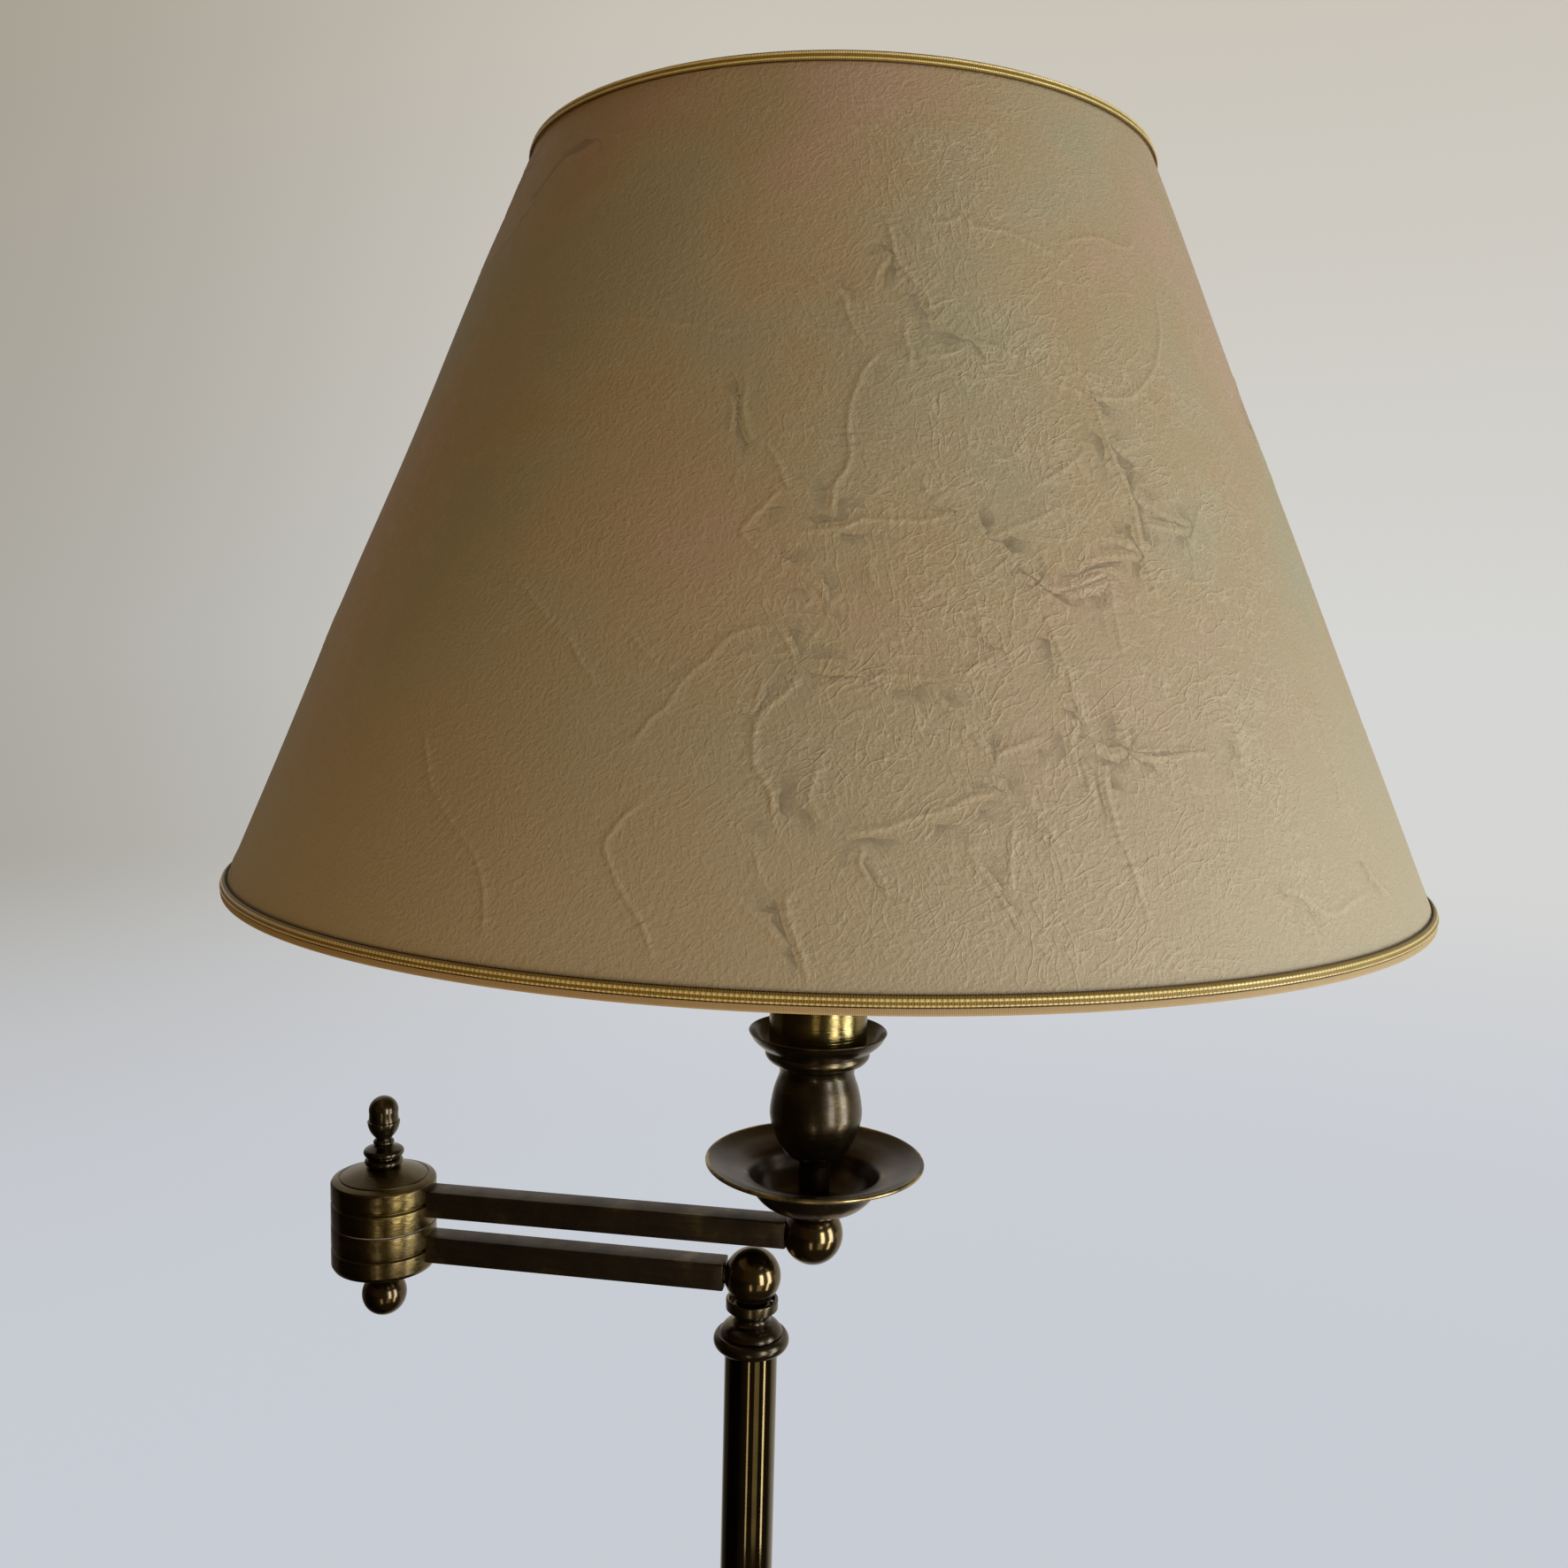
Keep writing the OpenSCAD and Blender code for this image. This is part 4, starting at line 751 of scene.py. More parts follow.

# ------------------------------------------------------------------ shade paper

# The creases at the front, read off the photograph: how strong each is, and its points as
# pixels across and down the frame
FRONT_CREASES = [
    (1.0, [(1000, 245), (1008, 268), (1013, 292), (1026, 312), (1046, 335), (1053, 352), (1076, 369),
          (1100, 384), (1122, 392), (1147, 399), (1172, 413), (1197, 430), (1215, 441), (1232, 448)]),
    (1.0, [(1232, 448), (1243, 475), (1252, 500), (1259, 522), (1270, 546), (1279, 567), (1284, 592),
          (1289, 616), (1296, 642), (1304, 666), (1310, 682)]),
    (0.9, [(1305, 338), (1309, 370), (1308, 400), (1303, 420), (1290, 436), (1275, 447), (1254, 449),
          (1232, 448)]),
    (0.6, [(1050, 401), (1075, 398), (1095, 389)]),
    (0.7, [(1050, 252), (1073, 249), (1086, 243), (1100, 256), (1122, 257), (1147, 263), (1166, 273),
          (1190, 286), (1202, 291)]),
    (0.6, [(1199, 277), (1216, 271), (1236, 269), (1251, 272), (1266, 279), (1276, 279), (1280, 268)]),
    (0.6, [(893, 298), (912, 309), (932, 321), (951, 335), (959, 355), (969, 377), (979, 391)]),
    (0.9, [(994, 399), (977, 418), (967, 438), (961, 460), (958, 485), (961, 508), (956, 528),
          (944, 545), (941, 565), (938, 583)]),
    (0.6, [(988, 325), (990, 308), (1000, 293), (1008, 286)]),
    (0.5, [(1024, 357), (1022, 378), (1028, 400), (1025, 420)]),
    (0.6, [(845, 420), (840, 455), (844, 480), (851, 498), (866, 504), (878, 521), (886, 541),
          (892, 551), (902, 555)]),
    (0.7, [(886, 549), (866, 570), (846, 589), (838, 601), (850, 616), (870, 631), (895, 643),
          (916, 655), (931, 669), (936, 686), (930, 704)]),
    (0.5, [(930, 704), (918, 718), (909, 728)]),
    (0.5, [(700, 358), (741, 362), (767, 368), (785, 366), (811, 370), (836, 372)]),
    (0.5, [(825, 448), (827, 470), (822, 497)]),
    (0.8, [(902, 601), (931, 597), (957, 595), (972, 588), (1002, 586), (1032, 588), (1060, 586),
          (1077, 579)]),
    (1.0, [(1045, 533), (1046, 554), (1060, 565), (1080, 576), (1099, 592), (1115, 608), (1131, 622),
          (1150, 640), (1168, 652), (1180, 671), (1196, 686), (1216, 695)]),
    (1.0, [(1180, 688), (1188, 710), (1198, 735), (1207, 760), (1215, 789), (1225, 815), (1236, 833)]),
    (0.8, [(1150, 640), (1166, 653), (1193, 664), (1214, 661), (1240, 652), (1262, 646)]),
    (0.6, [(1208, 673), (1232, 666), (1252, 658)]),
    (0.6, [(1215, 642), (1240, 632), (1266, 628), (1290, 629)]),
    (0.5, [(1245, 606), (1270, 613), (1290, 624)]),
    (0.5, [(1295, 591), (1322, 596), (1347, 598)]),
    (0.5, [(1283, 560), (1310, 576), (1330, 586), (1346, 594)]),
    (0.9, [(1168, 552), (1186, 541), (1203, 529), (1216, 521), (1229, 505)]),
    (0.5, [(1118, 606), (1136, 601), (1152, 595), (1170, 585), (1192, 577)]),
    (0.5, [(1255, 500), (1278, 514), (1294, 533), (1301, 547)]),
    (0.5, [(1357, 568), (1352, 588), (1348, 607), (1349, 638), (1351, 660), (1366, 673), (1386, 703)]),
    (0.8, [(575, 650), (590, 662), (606, 680), (621, 700), (635, 714), (645, 728), (656, 746),
          (666, 760), (675, 772)]),
    (0.6, [(690, 700), (711, 715), (726, 734), (745, 748), (762, 751)]),
    (0.8, [(877, 708), (850, 708), (825, 716), (812, 730), (803, 745), (785, 756), (769, 771),
          (758, 790), (749, 802), (735, 812), (721, 830), (705, 846)]),
    (0.8, [(877, 708), (891, 726), (897, 745), (905, 757)]),
    (1.0, [(905, 764), (890, 780), (869, 796), (855, 815), (852, 840), (853, 865), (863, 885),
          (872, 900), (873, 931)]),
    (0.6, [(862, 765), (858, 785), (851, 803)]),
    (0.9, [(905, 752), (930, 757), (956, 762), (981, 763), (1010, 763), (1040, 765), (1061, 767)]),
    (0.6, [(925, 776), (955, 769), (979, 765)]),
    (1.0, [(727, 904), (706, 921), (695, 936), (684, 951), (685, 966), (693, 986), (701, 1006),
          (713, 1026), (725, 1045), (731, 1066), (735, 1087)]),
    (0.7, [(478, 825), (482, 850), (485, 880), (492, 901), (506, 921), (520, 940), (531, 956),
          (541, 976), (546, 1001), (548, 1026), (544, 1062)]),
    (1.0, [(899, 1004), (888, 1013), (889, 1032), (897, 1056), (905, 1080), (912, 1108)]),
    (0.7, [(853, 950), (854, 972), (859, 997)]),
    (0.5, [(808, 1005), (830, 1020), (850, 1034), (870, 1054), (886, 1072)]),
    (0.9, [(955, 940), (985, 938), (1006, 935), (1030, 926), (1050, 922), (1070, 913), (1094, 902),
          (1119, 898), (1132, 896)]),
    (0.6, [(1054, 775), (1058, 790), (1075, 805), (1091, 820), (1104, 836), (1116, 851), (1121, 862)]),
    (0.5, [(1117, 879), (1131, 890), (1141, 906)]),
    (0.8, [(1125, 872), (1130, 851), (1150, 843), (1170, 835), (1187, 835)]),
    (0.8, [(1086, 772), (1095, 757), (1115, 746), (1132, 738)]),
    (0.6, [(1100, 690), (1110, 710), (1125, 726), (1139, 735), (1151, 747)]),
    (0.8, [(974, 955), (971, 974), (978, 991), (985, 1006)]),
    (0.7, [(985, 975), (1000, 1000), (1020, 1011), (1035, 1022), (1046, 1033)]),
    (1.0, [(1095, 958), (1105, 980), (1120, 1000), (1135, 1024), (1150, 1045), (1166, 1062),
          (1185, 1081), (1200, 1096)]),
    (0.5, [(1150, 925), (1144, 945), (1142, 980), (1143, 1016)]),
    (0.8, [(1165, 905), (1175, 925), (1190, 945), (1201, 966)]),
    (1.0, [(1246, 865), (1250, 893), (1257, 920), (1265, 945), (1275, 970), (1285, 1000), (1295, 1030),
          (1302, 1052)]),
    (0.5, [(1225, 865), (1232, 889), (1238, 913)]),
    (0.5, [(1216, 815), (1210, 840), (1214, 863), (1222, 881)]),
    (0.8, [(1235, 840), (1254, 850), (1280, 849), (1300, 846), (1330, 849), (1356, 847)]),
    (0.6, [(1280, 851), (1310, 857), (1350, 852), (1371, 851)]),
    (0.6, [(1253, 650), (1258, 680), (1263, 705), (1269, 735), (1279, 749)]),
    (0.5, [(1262, 795), (1270, 829), (1278, 850), (1283, 872)]),
    (0.5, [(1380, 800), (1393, 820), (1400, 850), (1403, 874), (1420, 889), (1439, 910), (1452, 927)]),
    (0.7, [(1475, 763), (1487, 800), (1498, 840), (1509, 880), (1515, 914), (1530, 945), (1550, 985),
          (1576, 1017)]),
    (0.6, [(1400, 970), (1420, 989), (1440, 1010), (1462, 1026)]),
    (0.5, [(1450, 1000), (1474, 1010), (1490, 1027), (1510, 1030), (1530, 1018), (1546, 1009)]),
    (0.5, [(1470, 1030), (1485, 1050), (1492, 1082)]),
    (0.5, [(930, 855), (918, 880), (915, 900), (925, 920), (941, 936)]),
    (0.6, [(980, 628), (985, 655), (996, 671)]),
    (0.5, [(936, 690), (946, 675), (958, 664)]),
]
# Where short wrinkles crowd at the front: degrees round, height, reach in mm and how much
FRONT_CROWDS = [(-80, 110, 34, 0.75), (-62, 95, 34, 0.85), (-68, 165, 30, 0.7), (-92, 70, 26, 0.55),
                (-75, 25, 34, 0.5), (-79, 228, 20, 0.55), (-52, 130, 26, 0.45), (-50, 40, 30, 0.35)]
LAP = 104.0              # degrees: the sheet's two ends are glued over each other at the back
RIDGE_HALF = 1.05        # mm, from the middle of a crease to its foot
RIDGE_HIGH = 0.28        # mm
SPACING = 1.25           # mm from one point of a crease to the next
BESIDE = (0, -0.5, 0.5, -1.0, 1.0, -1.8, 1.8)    # mm: a crease's crest, and the feet at its sides
CLEAR = 2.4              # mm: the sheet's even points keep this far from a crease
NEXT_PUCKERS = 60        # mm, which sets one crease's puckers apart from the next one's
CROWD_REACH = 34         # mm, how far a crowd of wrinkles reaches at the sides and the back
LAP_EDGE = 0.12          # degrees over which the lap's edge rises
LAP_WIDE = 9             # degrees over which the lap runs out again
LAP_HIGH = 0.35          # mm
HEIGHT = SHADE_HIGH - SHADE_LOW
chance = random.Random(11)


def stretch(height):
    """How long a degree round the shade is at a height above its lower edge, in mm."""
    return math.radians(on_cone(SHADE_LOW + height)[0])


def on_paper(across, down):
    """Where the camera's ray through a pixel of the frame first meets the paper.

    It is in degrees round the shade and mm above its lower edge, no finer than an eye reads it."""
    ray = look + ((across - FRAME_PX / 2) * side - (down - FRAME_PX / 2) * top) / FOCAL_PX
    start = (CAMERA_AT - shade) / MM
    # the cone's radius at the camera's height, and its gain along the ray
    narrowing = -math.tan(SHADE_LEAN)
    radius, gain = SHADE_LOW_R + narrowing * (start.z - SHADE_LOW), narrowing * ray.z
    # the ray is as far from the shade's axis as the cone is wide: a quadratic in the way along it
    a = ray.x ** 2 + ray.y ** 2 - gain ** 2
    b = start.x * ray.x + start.y * ray.y - radius * gain
    c = start.x ** 2 + start.y ** 2 - radius ** 2
    spot = start - ray * ((b + math.sqrt(b * b - a * c)) / a)
    return round(math.degrees(math.atan2(spot.y, spot.x)), 1), round(spot.z - SHADE_LOW)


def wander(azimuth, height, heading, length):
    """A crease that walks over the paper and turns as it goes."""
    spots = [(azimuth, height)]
    walked = 0
    while walked < length and 6 < height < HEIGHT - 6:
        step = chance.uniform(3.5, 7)
        heading += chance.gauss(0, 0.3)
        azimuth += step * math.cos(heading) / stretch(height)
        height += step * math.sin(heading) * math.cos(SHADE_LEAN)
        walked += step
        spots.append((azimuth, height))
    return spots


creases = [(strength, [on_paper(*spot) for spot in spots]) for strength, spots in FRONT_CREASES]
crowds = [(chance.uniform(-165, 195), chance.uniform(40, HEIGHT - 40)) for _ in range(16)]
for number in range(150):
    home = crowds[number % len(crowds)]
    start = chance.gauss(home[0], 17)
    if -155 < start < -22:
        continue
    line = wander(start, min(max(chance.gauss(home[1], 45), 12), HEIGHT - 12),
                  chance.uniform(0, TURN), chance.choice((14, 20, 30, 45, 80)))
    strength = chance.uniform(0.45, 1)
    creases.append((strength, line))
    if len(line) > 5:
        fork = line[len(line) // 2]
        creases.append((strength * 0.7, wander(*fork, chance.uniform(0, TURN), 18)))


def stroke(spots):
    """A crease's points at an even spacing, each with its direction over the paper."""
    smooth = curve(spots, 8)
    walked = [0]
    for here, there in zip(smooth, smooth[1:]):
        walked.append(walked[-1] + math.hypot(
            (there[0] - here[0]) * stretch(here[1]), (there[1] - here[1]) / math.cos(SHADE_LEAN)))
    if walked[-1] < 2 * SPACING:
        return []
    places = np.linspace(0, walked[-1], int(walked[-1] / SPACING) + 2)
    round_it = np.interp(places, walked, [spot[0] for spot in smooth])
    up_it = np.interp(places, walked, [spot[1] for spot in smooth])
    lengths = np.array([stretch(height) for height in up_it])
    east, north = np.gradient(round_it) * lengths, np.gradient(up_it) / math.cos(SHADE_LEAN)
    size = np.hypot(east, north) + 1e-9
    return list(zip(round_it, up_it, east / size, north / size, lengths))


def flat_place(azimuth, height):
    """Where a spot of the cone lies when the sheet is laid flat, in mm."""
    slant = on_cone(SHADE_LOW + height)[0] / math.sin(SHADE_LEAN)
    turn = math.radians(azimuth) * math.sin(SHADE_LEAN)
    return Vector((slant * math.cos(turn), slant * math.sin(turn), 0))


def lap_turn(azimuth):
    """The same direction, counted on from the lap: 0 to 360."""
    return (azimuth - LAP) % 360


strokes = []
for strength, spots in creases:
    points = stroke(spots)
    if points and all(6 < lap_turn(point[0]) < 354 for point in points):
        strokes.append((0.4 + 0.6 * strength, points))

# Each crease has a crest and feet at each side, so that it is round and the sheet beside it flat
middles = [(strength * min(1, 0.25 + 0.2 * min(i, len(points) - 1 - i)) * chance.uniform(0.75, 1.1),
            point)
           for strength, points in strokes for i, point in enumerate(points)]
walked_to = [NEXT_PUCKERS * number + SPACING * i
             for number, (_, points) in enumerate(strokes) for i in range(len(points))]
tree_of_creases = KDTree(len(middles))
for number, (strength, point) in enumerate(middles):
    tree_of_creases.insert(flat_place(lap_turn(point[0]), point[1]), number)
tree_of_creases.balance()

RIM_STEPS, RISE_STEPS = 300, 72
sheet_points = []
for strength, points in strokes:
    for azimuth, height, east, north, length in points:
        for off in BESIDE:
            x = lap_turn(azimuth - off * north / length)
            y = height + off * east * math.cos(SHADE_LEAN)
            if 0.5 < y < HEIGHT - 0.5:
                sheet_points.append((x, y))
for row in range(RISE_STEPS + 1):
    height = HEIGHT * row / RISE_STEPS
    rim = row in (0, RISE_STEPS)
    for column in range(RIM_STEPS + 1):
        x = 360 * column / RIM_STEPS
        if not rim and 0 < column < RIM_STEPS:
            x += chance.uniform(-0.3, 0.3)
            near = tree_of_creases.find(flat_place(x, height))[2]
            if near < CLEAR:
                continue
        sheet_points.append((x, height))
    # the lap's edge is a narrow step
    if not rim:
        sheet_points.append((LAP_EDGE, height))

MIDDLE_LENGTH = stretch(HEIGHT / 2)
flat = [Vector((x * MIDDLE_LENGTH, y / math.cos(SHADE_LEAN))) for x, y in sheet_points]
laid, _, triangles, _, _, _ = delaunay_2d_cdt(flat, [], [], 0, 0.02)
turns = np.array([spot.x for spot in laid]) / MIDDLE_LENGTH
heights = np.array([spot.y for spot in laid]) * math.cos(SHADE_LEAN)

# how high each point stands out of the cone
crest = np.zeros(len(laid))
along = np.zeros(len(laid))
beside = np.zeros(len(laid))
for number, (x, y) in enumerate(zip(turns, heights)):
    _, found, distance = tree_of_creases.find(flat_place(x, y))
    strength, (azimuth, height, east, north, length) = middles[found]
    along[number] = walked_to[found] + ((x - lap_turn(azimuth)) * length * east
                                        + (y - height) / math.cos(SHADE_LEAN) * north)
    beside[number] = strength * math.exp(-(distance / 4) ** 2)
    part = distance / RIDGE_HALF
    if part < 2.2:
        shape_of = (1 - part * part) ** 2 if part < 1 else -0.16 * math.sin(math.pi * (part - 1) / 1.2)
        crest[number] = middles[found][0] * shape_of
crowd = np.full(len(laid), 0.34)
for azimuth, height, reach, much in FRONT_CROWDS + [(*spot, CROWD_REACH, 0.75) for spot in crowds
                                                    if not -150 < spot[0] < -25]:
    aside = (turns - lap_turn(azimuth)) * np.array([stretch(level) for level in heights])
    crowd += much * np.exp(-(aside ** 2 + (heights - height) ** 2) / (2 * reach * reach))
swell = np.zeros(len(laid))
for _ in range(14):
    waves, rise = chance.randint(-13, 13), chance.uniform(-0.07, 0.07)
    swell += 0.07 * np.sin(np.radians(turns) * waves + heights * rise + chance.uniform(0, TURN))
lap_step = LAP_HIGH * np.clip(turns / LAP_EDGE, 0, 1) * np.clip(1 - turns / LAP_WIDE, 0, 1)
calm = np.clip(np.minimum(heights, HEIGHT - heights) / 9, 0, 1)
out = (crest * RIDGE_HIGH + swell + lap_step) * calm
radii = np.array([on_cone(SHADE_LOW + height)[0] for height in heights]) + out
angles = np.radians(turns + LAP)
spots = np.column_stack((shade.x + radii * MM * np.cos(angles), shade.y + radii * MM * np.sin(angles),
                         (SHADE_LOW + heights) * MM))

sheet = bpy.data.meshes.new("shade_paper")
sheet.from_pydata(spots.tolist(), [], triangles)
sheet.attributes.new("crease", "FLOAT", "POINT").data.foreach_set("value", crest)
sheet.attributes.new("crowd", "FLOAT", "POINT").data.foreach_set("value", np.clip(crowd, 0, 1))
sheet.attributes.new("along", "FLOAT", "POINT").data.foreach_set("value", along)
sheet.attributes.new("beside", "FLOAT", "POINT").data.foreach_set("value", beside)
flat_spots = np.array([flat_place(x, y) for x, y in zip(turns, heights)]) * MM
sheet.attributes.new("flat", "FLOAT_VECTOR", "POINT").data.foreach_set("vector", flat_spots.ravel())
shade_paper = bpy.data.objects.new("shade_paper", sheet)
bpy.context.scene.collection.objects.link(shade_paper)
deselect()
shade_paper.select_set(True)
bpy.context.view_layer.objects.active = shade_paper
edit()
bpy.ops.mesh.remove_doubles(threshold=0.01 * MM)
# both rims are drawn in by the paper's thickness, and the two are joined by the back of the sheet
for edge_height in (SHADE_LOW, SHADE_HIGH):
    bpy.ops.mesh.select_mode(type="VERT")
    bpy.ops.mesh.select_all(action="DESELECT")
    shell = bmesh.from_edit_mesh(sheet)
    for corner in shell.verts:
        corner.select = abs(corner.co.z - edge_height * MM) < 0.01 * MM and corner.is_boundary
    shell.select_flush_mode()
    bmesh.update_edit_mesh(sheet)
    bpy.ops.mesh.extrude_region_move()
    radius = on_cone(edge_height)[0]
    inner = on_cone(edge_height, -PAPER)[0]
    bpy.ops.transform.resize(value=(inner / radius, inner / radius, 1),
                             center_override=shade + Vector((0, 0, edge_height * MM)))
bpy.ops.mesh.select_all(action="DESELECT")
shell = bmesh.from_edit_mesh(sheet)
for line in shell.edges:
    line.select = line.is_boundary
shell.select_flush_mode()
bmesh.update_edit_mesh(sheet)
bpy.ops.mesh.bridge_edge_loops()
bpy.ops.mesh.select_all(action="SELECT")
bpy.ops.mesh.normals_make_consistent(inside=False)
bpy.ops.object.mode_set(mode="OBJECT")
bpy.ops.object.shade_smooth_by_angle(angle=math.radians(50))
shade_paper.data.materials.append(shade_paper_look)
shade_paper.data.materials.append(liner_look)
for face in shade_paper.data.polygons:
    outward = Vector((face.center.x - shade.x, face.center.y - shade.y, 0))
    if face.normal.dot(outward) < 0:
        face.material_index = 1
settle(shade_paper, "upper_arm_body", "parchment", shade_paper_look, "shade_paper")

# ------------------------------------------------------------------ tape and braid


def binding(name, edge, up):
    """Tape folded over an edge of the paper and the wire ring behind it. up is 1 or -1."""
    behind = -PAPER - 2 * RING_WIRE_R - 0.3
    outline = closed(soften(
        [on_cone(edge + up * 3.3, 0.02), on_cone(edge + up * 3.3, TAPE)]
        + [on_cone(edge + up * 1.2, TAPE), on_cone(edge + up * 0.2, TAPE),
           on_cone(edge - up * 0.3, 0.2), on_cone(edge - up * TAPE, -0.6),
           on_cone(edge - up * TAPE, behind + 0.6),
           on_cone(edge - up * 0.3, behind - 0.2), on_cone(edge + up * 0.6, behind - TAPE),
           on_cone(edge + up * 6, behind - TAPE), on_cone(edge + up * 6, behind),
           on_cone(edge, behind), on_cone(edge, 0.02)], 0.2))
    return settle(lathe(name, shade, outline, 256), "upper_arm_body", "tan_tape", tape_look, name)


binding("bottom_binding", SHADE_LOW, 1)
binding("top_binding", SHADE_HIGH, -1)


def twisted_cord(name, height, out, pitch, thick):
    """Two-ply cord round the shade: a ring whose section turns once every two pitches."""
    radius, z = on_cone(height, out)
    turns = round(TURN * radius / pitch / 2)
    deselect()
    bpy.ops.mesh.primitive_torus_add(major_segments=turns * 10, minor_segments=6,
                                     major_radius=radius * MM, minor_radius=thick / 2 * MM,
                                     location=shade + Vector((0, 0, z * MM)))
    cord = bpy.context.object
    cord.name = cord.data.name = name
    bpy.ops.object.transform_apply(location=True)
    points = np.empty(len(cord.data.vertices) * 3)
    cord.data.vertices.foreach_get("co", points)
    points = points.reshape(-1, 3)
    east, north = points[:, 0] - shade.x, points[:, 1] - shade.y
    reach = np.hypot(east, north)
    round_it = np.arctan2(north, east)
    over, high = reach - radius * MM, points[:, 2] - z * MM
    swell = 1 + 0.08 * np.cos(2 * np.arctan2(high, over) - 2 * turns * round_it)
    reach = radius * MM + over * swell
    points[:, 0] = shade.x + reach * np.cos(round_it)
    points[:, 1] = shade.y + reach * np.sin(round_it)
    points[:, 2] = z * MM + high * swell
    cord.data.vertices.foreach_set("co", points.ravel())
    cord.data.update()
    bpy.ops.object.shade_smooth()
    return cord


def braid(name, low, high, cords, threads):
    """A flat gimp between two heights. On it lie pale cords of (height, thickness) and dark threads.

    The threads' dark colour is painted shade along the braid's edges.
    """
    rise = (high - low) / 6
    outline = closed(
        [on_cone(low + 0.1, TAPE - 0.1), on_cone(low, TAPE + 0.2), on_cone(low + 0.15, TAPE + 0.55)]
        + [on_cone(low + rise * i, TAPE + 0.72) for i in range(1, 6)]
        + [on_cone(high - 0.15, TAPE + 0.55), on_cone(high, TAPE + 0.2),
           on_cone(high - 0.1, TAPE - 0.1)])
    band = lathe(name, shade, outline, 512)
    settle(band, "upper_arm_body", "gold_braid", braid_look, name)
    laid_on = [(f"{name}_cord_{n + 1}", height, TAPE + 0.7, 0.8, thick, cord_look)
               for n, (height, thick) in enumerate(cords)]
    laid_on += [(f"{name}_thread_{n + 1}", height, TAPE + 0.25, 1.2, 0.35, shadow_thread_look)
                for n, height in enumerate(threads)]
    for *sizes, look_of in laid_on:
        cord = twisted_cord(*sizes)
        cord.data.materials.append(look_of)
        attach(cord, "upper_arm_body")


low_edge, high_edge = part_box("bottom_braid"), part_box("top_braid")
bottom_low, bottom_high = low_edge[0].z / MM, low_edge[1].z / MM
top_low, top_high = high_edge[0].z / MM, high_edge[1].z / MM
braid("bottom_braid", bottom_low + 0.3, bottom_high + 0.1,
      ((bottom_low + 0.65, 0.6), (bottom_low + 1.95, 0.9)), (bottom_low + 0.1, bottom_high + 0.2))
braid("top_braid", top_low + 0.6, top_high - 0.1,
      ((top_high - 0.7, 0.8), (top_high - 2.45, 0.6)), (top_low + 0.45, top_high - 0.05))

# ------------------------------------------------------------------ CAD nodes that stay

where = {"stand": "pole", "lower_arm_body": "elbow", "upper_arm_body": "candle"}
near_pole = {"pole_pivot", "pivot_spring", "pivot_nut", "lower_arm_nipples"}
body_of = {node: body for body, nodes in frame["record"]["behaviour"]["bodies"].items()
           for node in nodes}
for subpart in frame["record"]["subparts"]:
    node, slot = subpart["node"], subpart["material_slot"]
    spot = "pole" if node in near_pole else where[body_of[node]]
    look_of = metals.get((slot, spot)) or slot_looks.get(slot)
    if node == "candle_sleeve":
        look_of = metals["sleeve"]
    holder = frame["nodes"][node]
    if not holder.material_slots:
        holder.data.materials.append(look_of)
    for part in holder.material_slots:
        part.material = look_of

# ------------------------------------------------------------------ floor and light

HORIZON = colour("#d6d6d4")
NEAR_FLOOR = colour("#c8ccd4")
SKY = colour("#c9c2b5")
# painted shade: the backdrop and the far floor are darkened towards the left, as if the light fell off
# away from the lamps
PAINTED_LEFT_SHADE = colour("#c9c5bd")
LEFTWARD = {"interpolation_type": "SMOOTHSTEP", "From Min": 0.0, "From Max": -0.6}
# and what the brass mirrors from the far left is dimmer still: the room's light, and the floor's
# painted reflection
FROM_LEFT = {"interpolation_type": "SMOOTHSTEP", "From Min": -0.9, "From Max": -0.45, "To Min": 0.25}
FLOOR_LEFT = {"interpolation_type": "SMOOTHSTEP", "From Min": -0.82, "From Max": -0.3, "To Min": 0.12}

deselect()
bpy.ops.mesh.primitive_circle_add(vertices=96, radius=40, fill_type="NGON", location=(0, 0, 0))
floor = bpy.context.object
floor.name = "floor"
floor_look, tree = new_material("pale_floor")
coords = add_node(tree, "ShaderNodeTexCoord")
reach = add_node(tree, "ShaderNodeVectorMath", {"operation": "LENGTH"}, {0: coords.outputs["Object"]})
parts = add_node(tree, "ShaderNodeSeparateXYZ", links={0: coords.outputs["Object"]})
path = add_node(tree, "ShaderNodeLightPath")
far_share = add_node(tree, "ShaderNodeMapRange", {"interpolation_type": "SMOOTHSTEP",
                                                  "From Min": 0.55, "From Max": 1.2},
                     {"Value": reach.outputs["Value"]})
seen = add_node(tree, "ShaderNodeMath", {"operation": "MULTIPLY"},
                {0: far_share, 1: path.outputs["Is Camera Ray"]})
tone = add_node(tree, "ShaderNodeMapRange", {"interpolation_type": "SMOOTHSTEP",
                                             "From Min": 1.5, "From Max": 9.0},
                {"Value": reach.outputs["Value"]})
far_tone = add_node(tree, "ShaderNodeMix", {"data_type": "RGBA", MIX_A: NEAR_FLOOR, MIX_B: HORIZON},
                    {"Factor": tone})
# painted reflection: for glossy rays the floor glows, pale behind the lamp and dim on the near side, as
# the room does
behind = add_node(tree, "ShaderNodeMapRange", {"interpolation_type": "SMOOTHSTEP",
                                               "From Min": 0.1, "From Max": 0.9},
                  {"Value": parts.outputs[1]})
mirrored = add_node(tree, "ShaderNodeMix", {"data_type": "RGBA", MIX_A: colour("#3a332a"),
                                            MIX_B: colour("#c2beb6")}, {"Factor": behind})
unit = add_node(tree, "ShaderNodeVectorMath", {"operation": "NORMALIZE"},
                {0: coords.outputs["Object"]})
sideways = add_node(tree, "ShaderNodeSeparateXYZ", links={0: unit})
from_left = add_node(tree, "ShaderNodeMapRange", FLOOR_LEFT, {"Value": sideways.outputs[0]})
uneven = add_node(tree, "ShaderNodeVectorMath", {"operation": "SCALE"},
                  {0: mirrored.outputs[MIX_RESULT], "Scale": from_left})
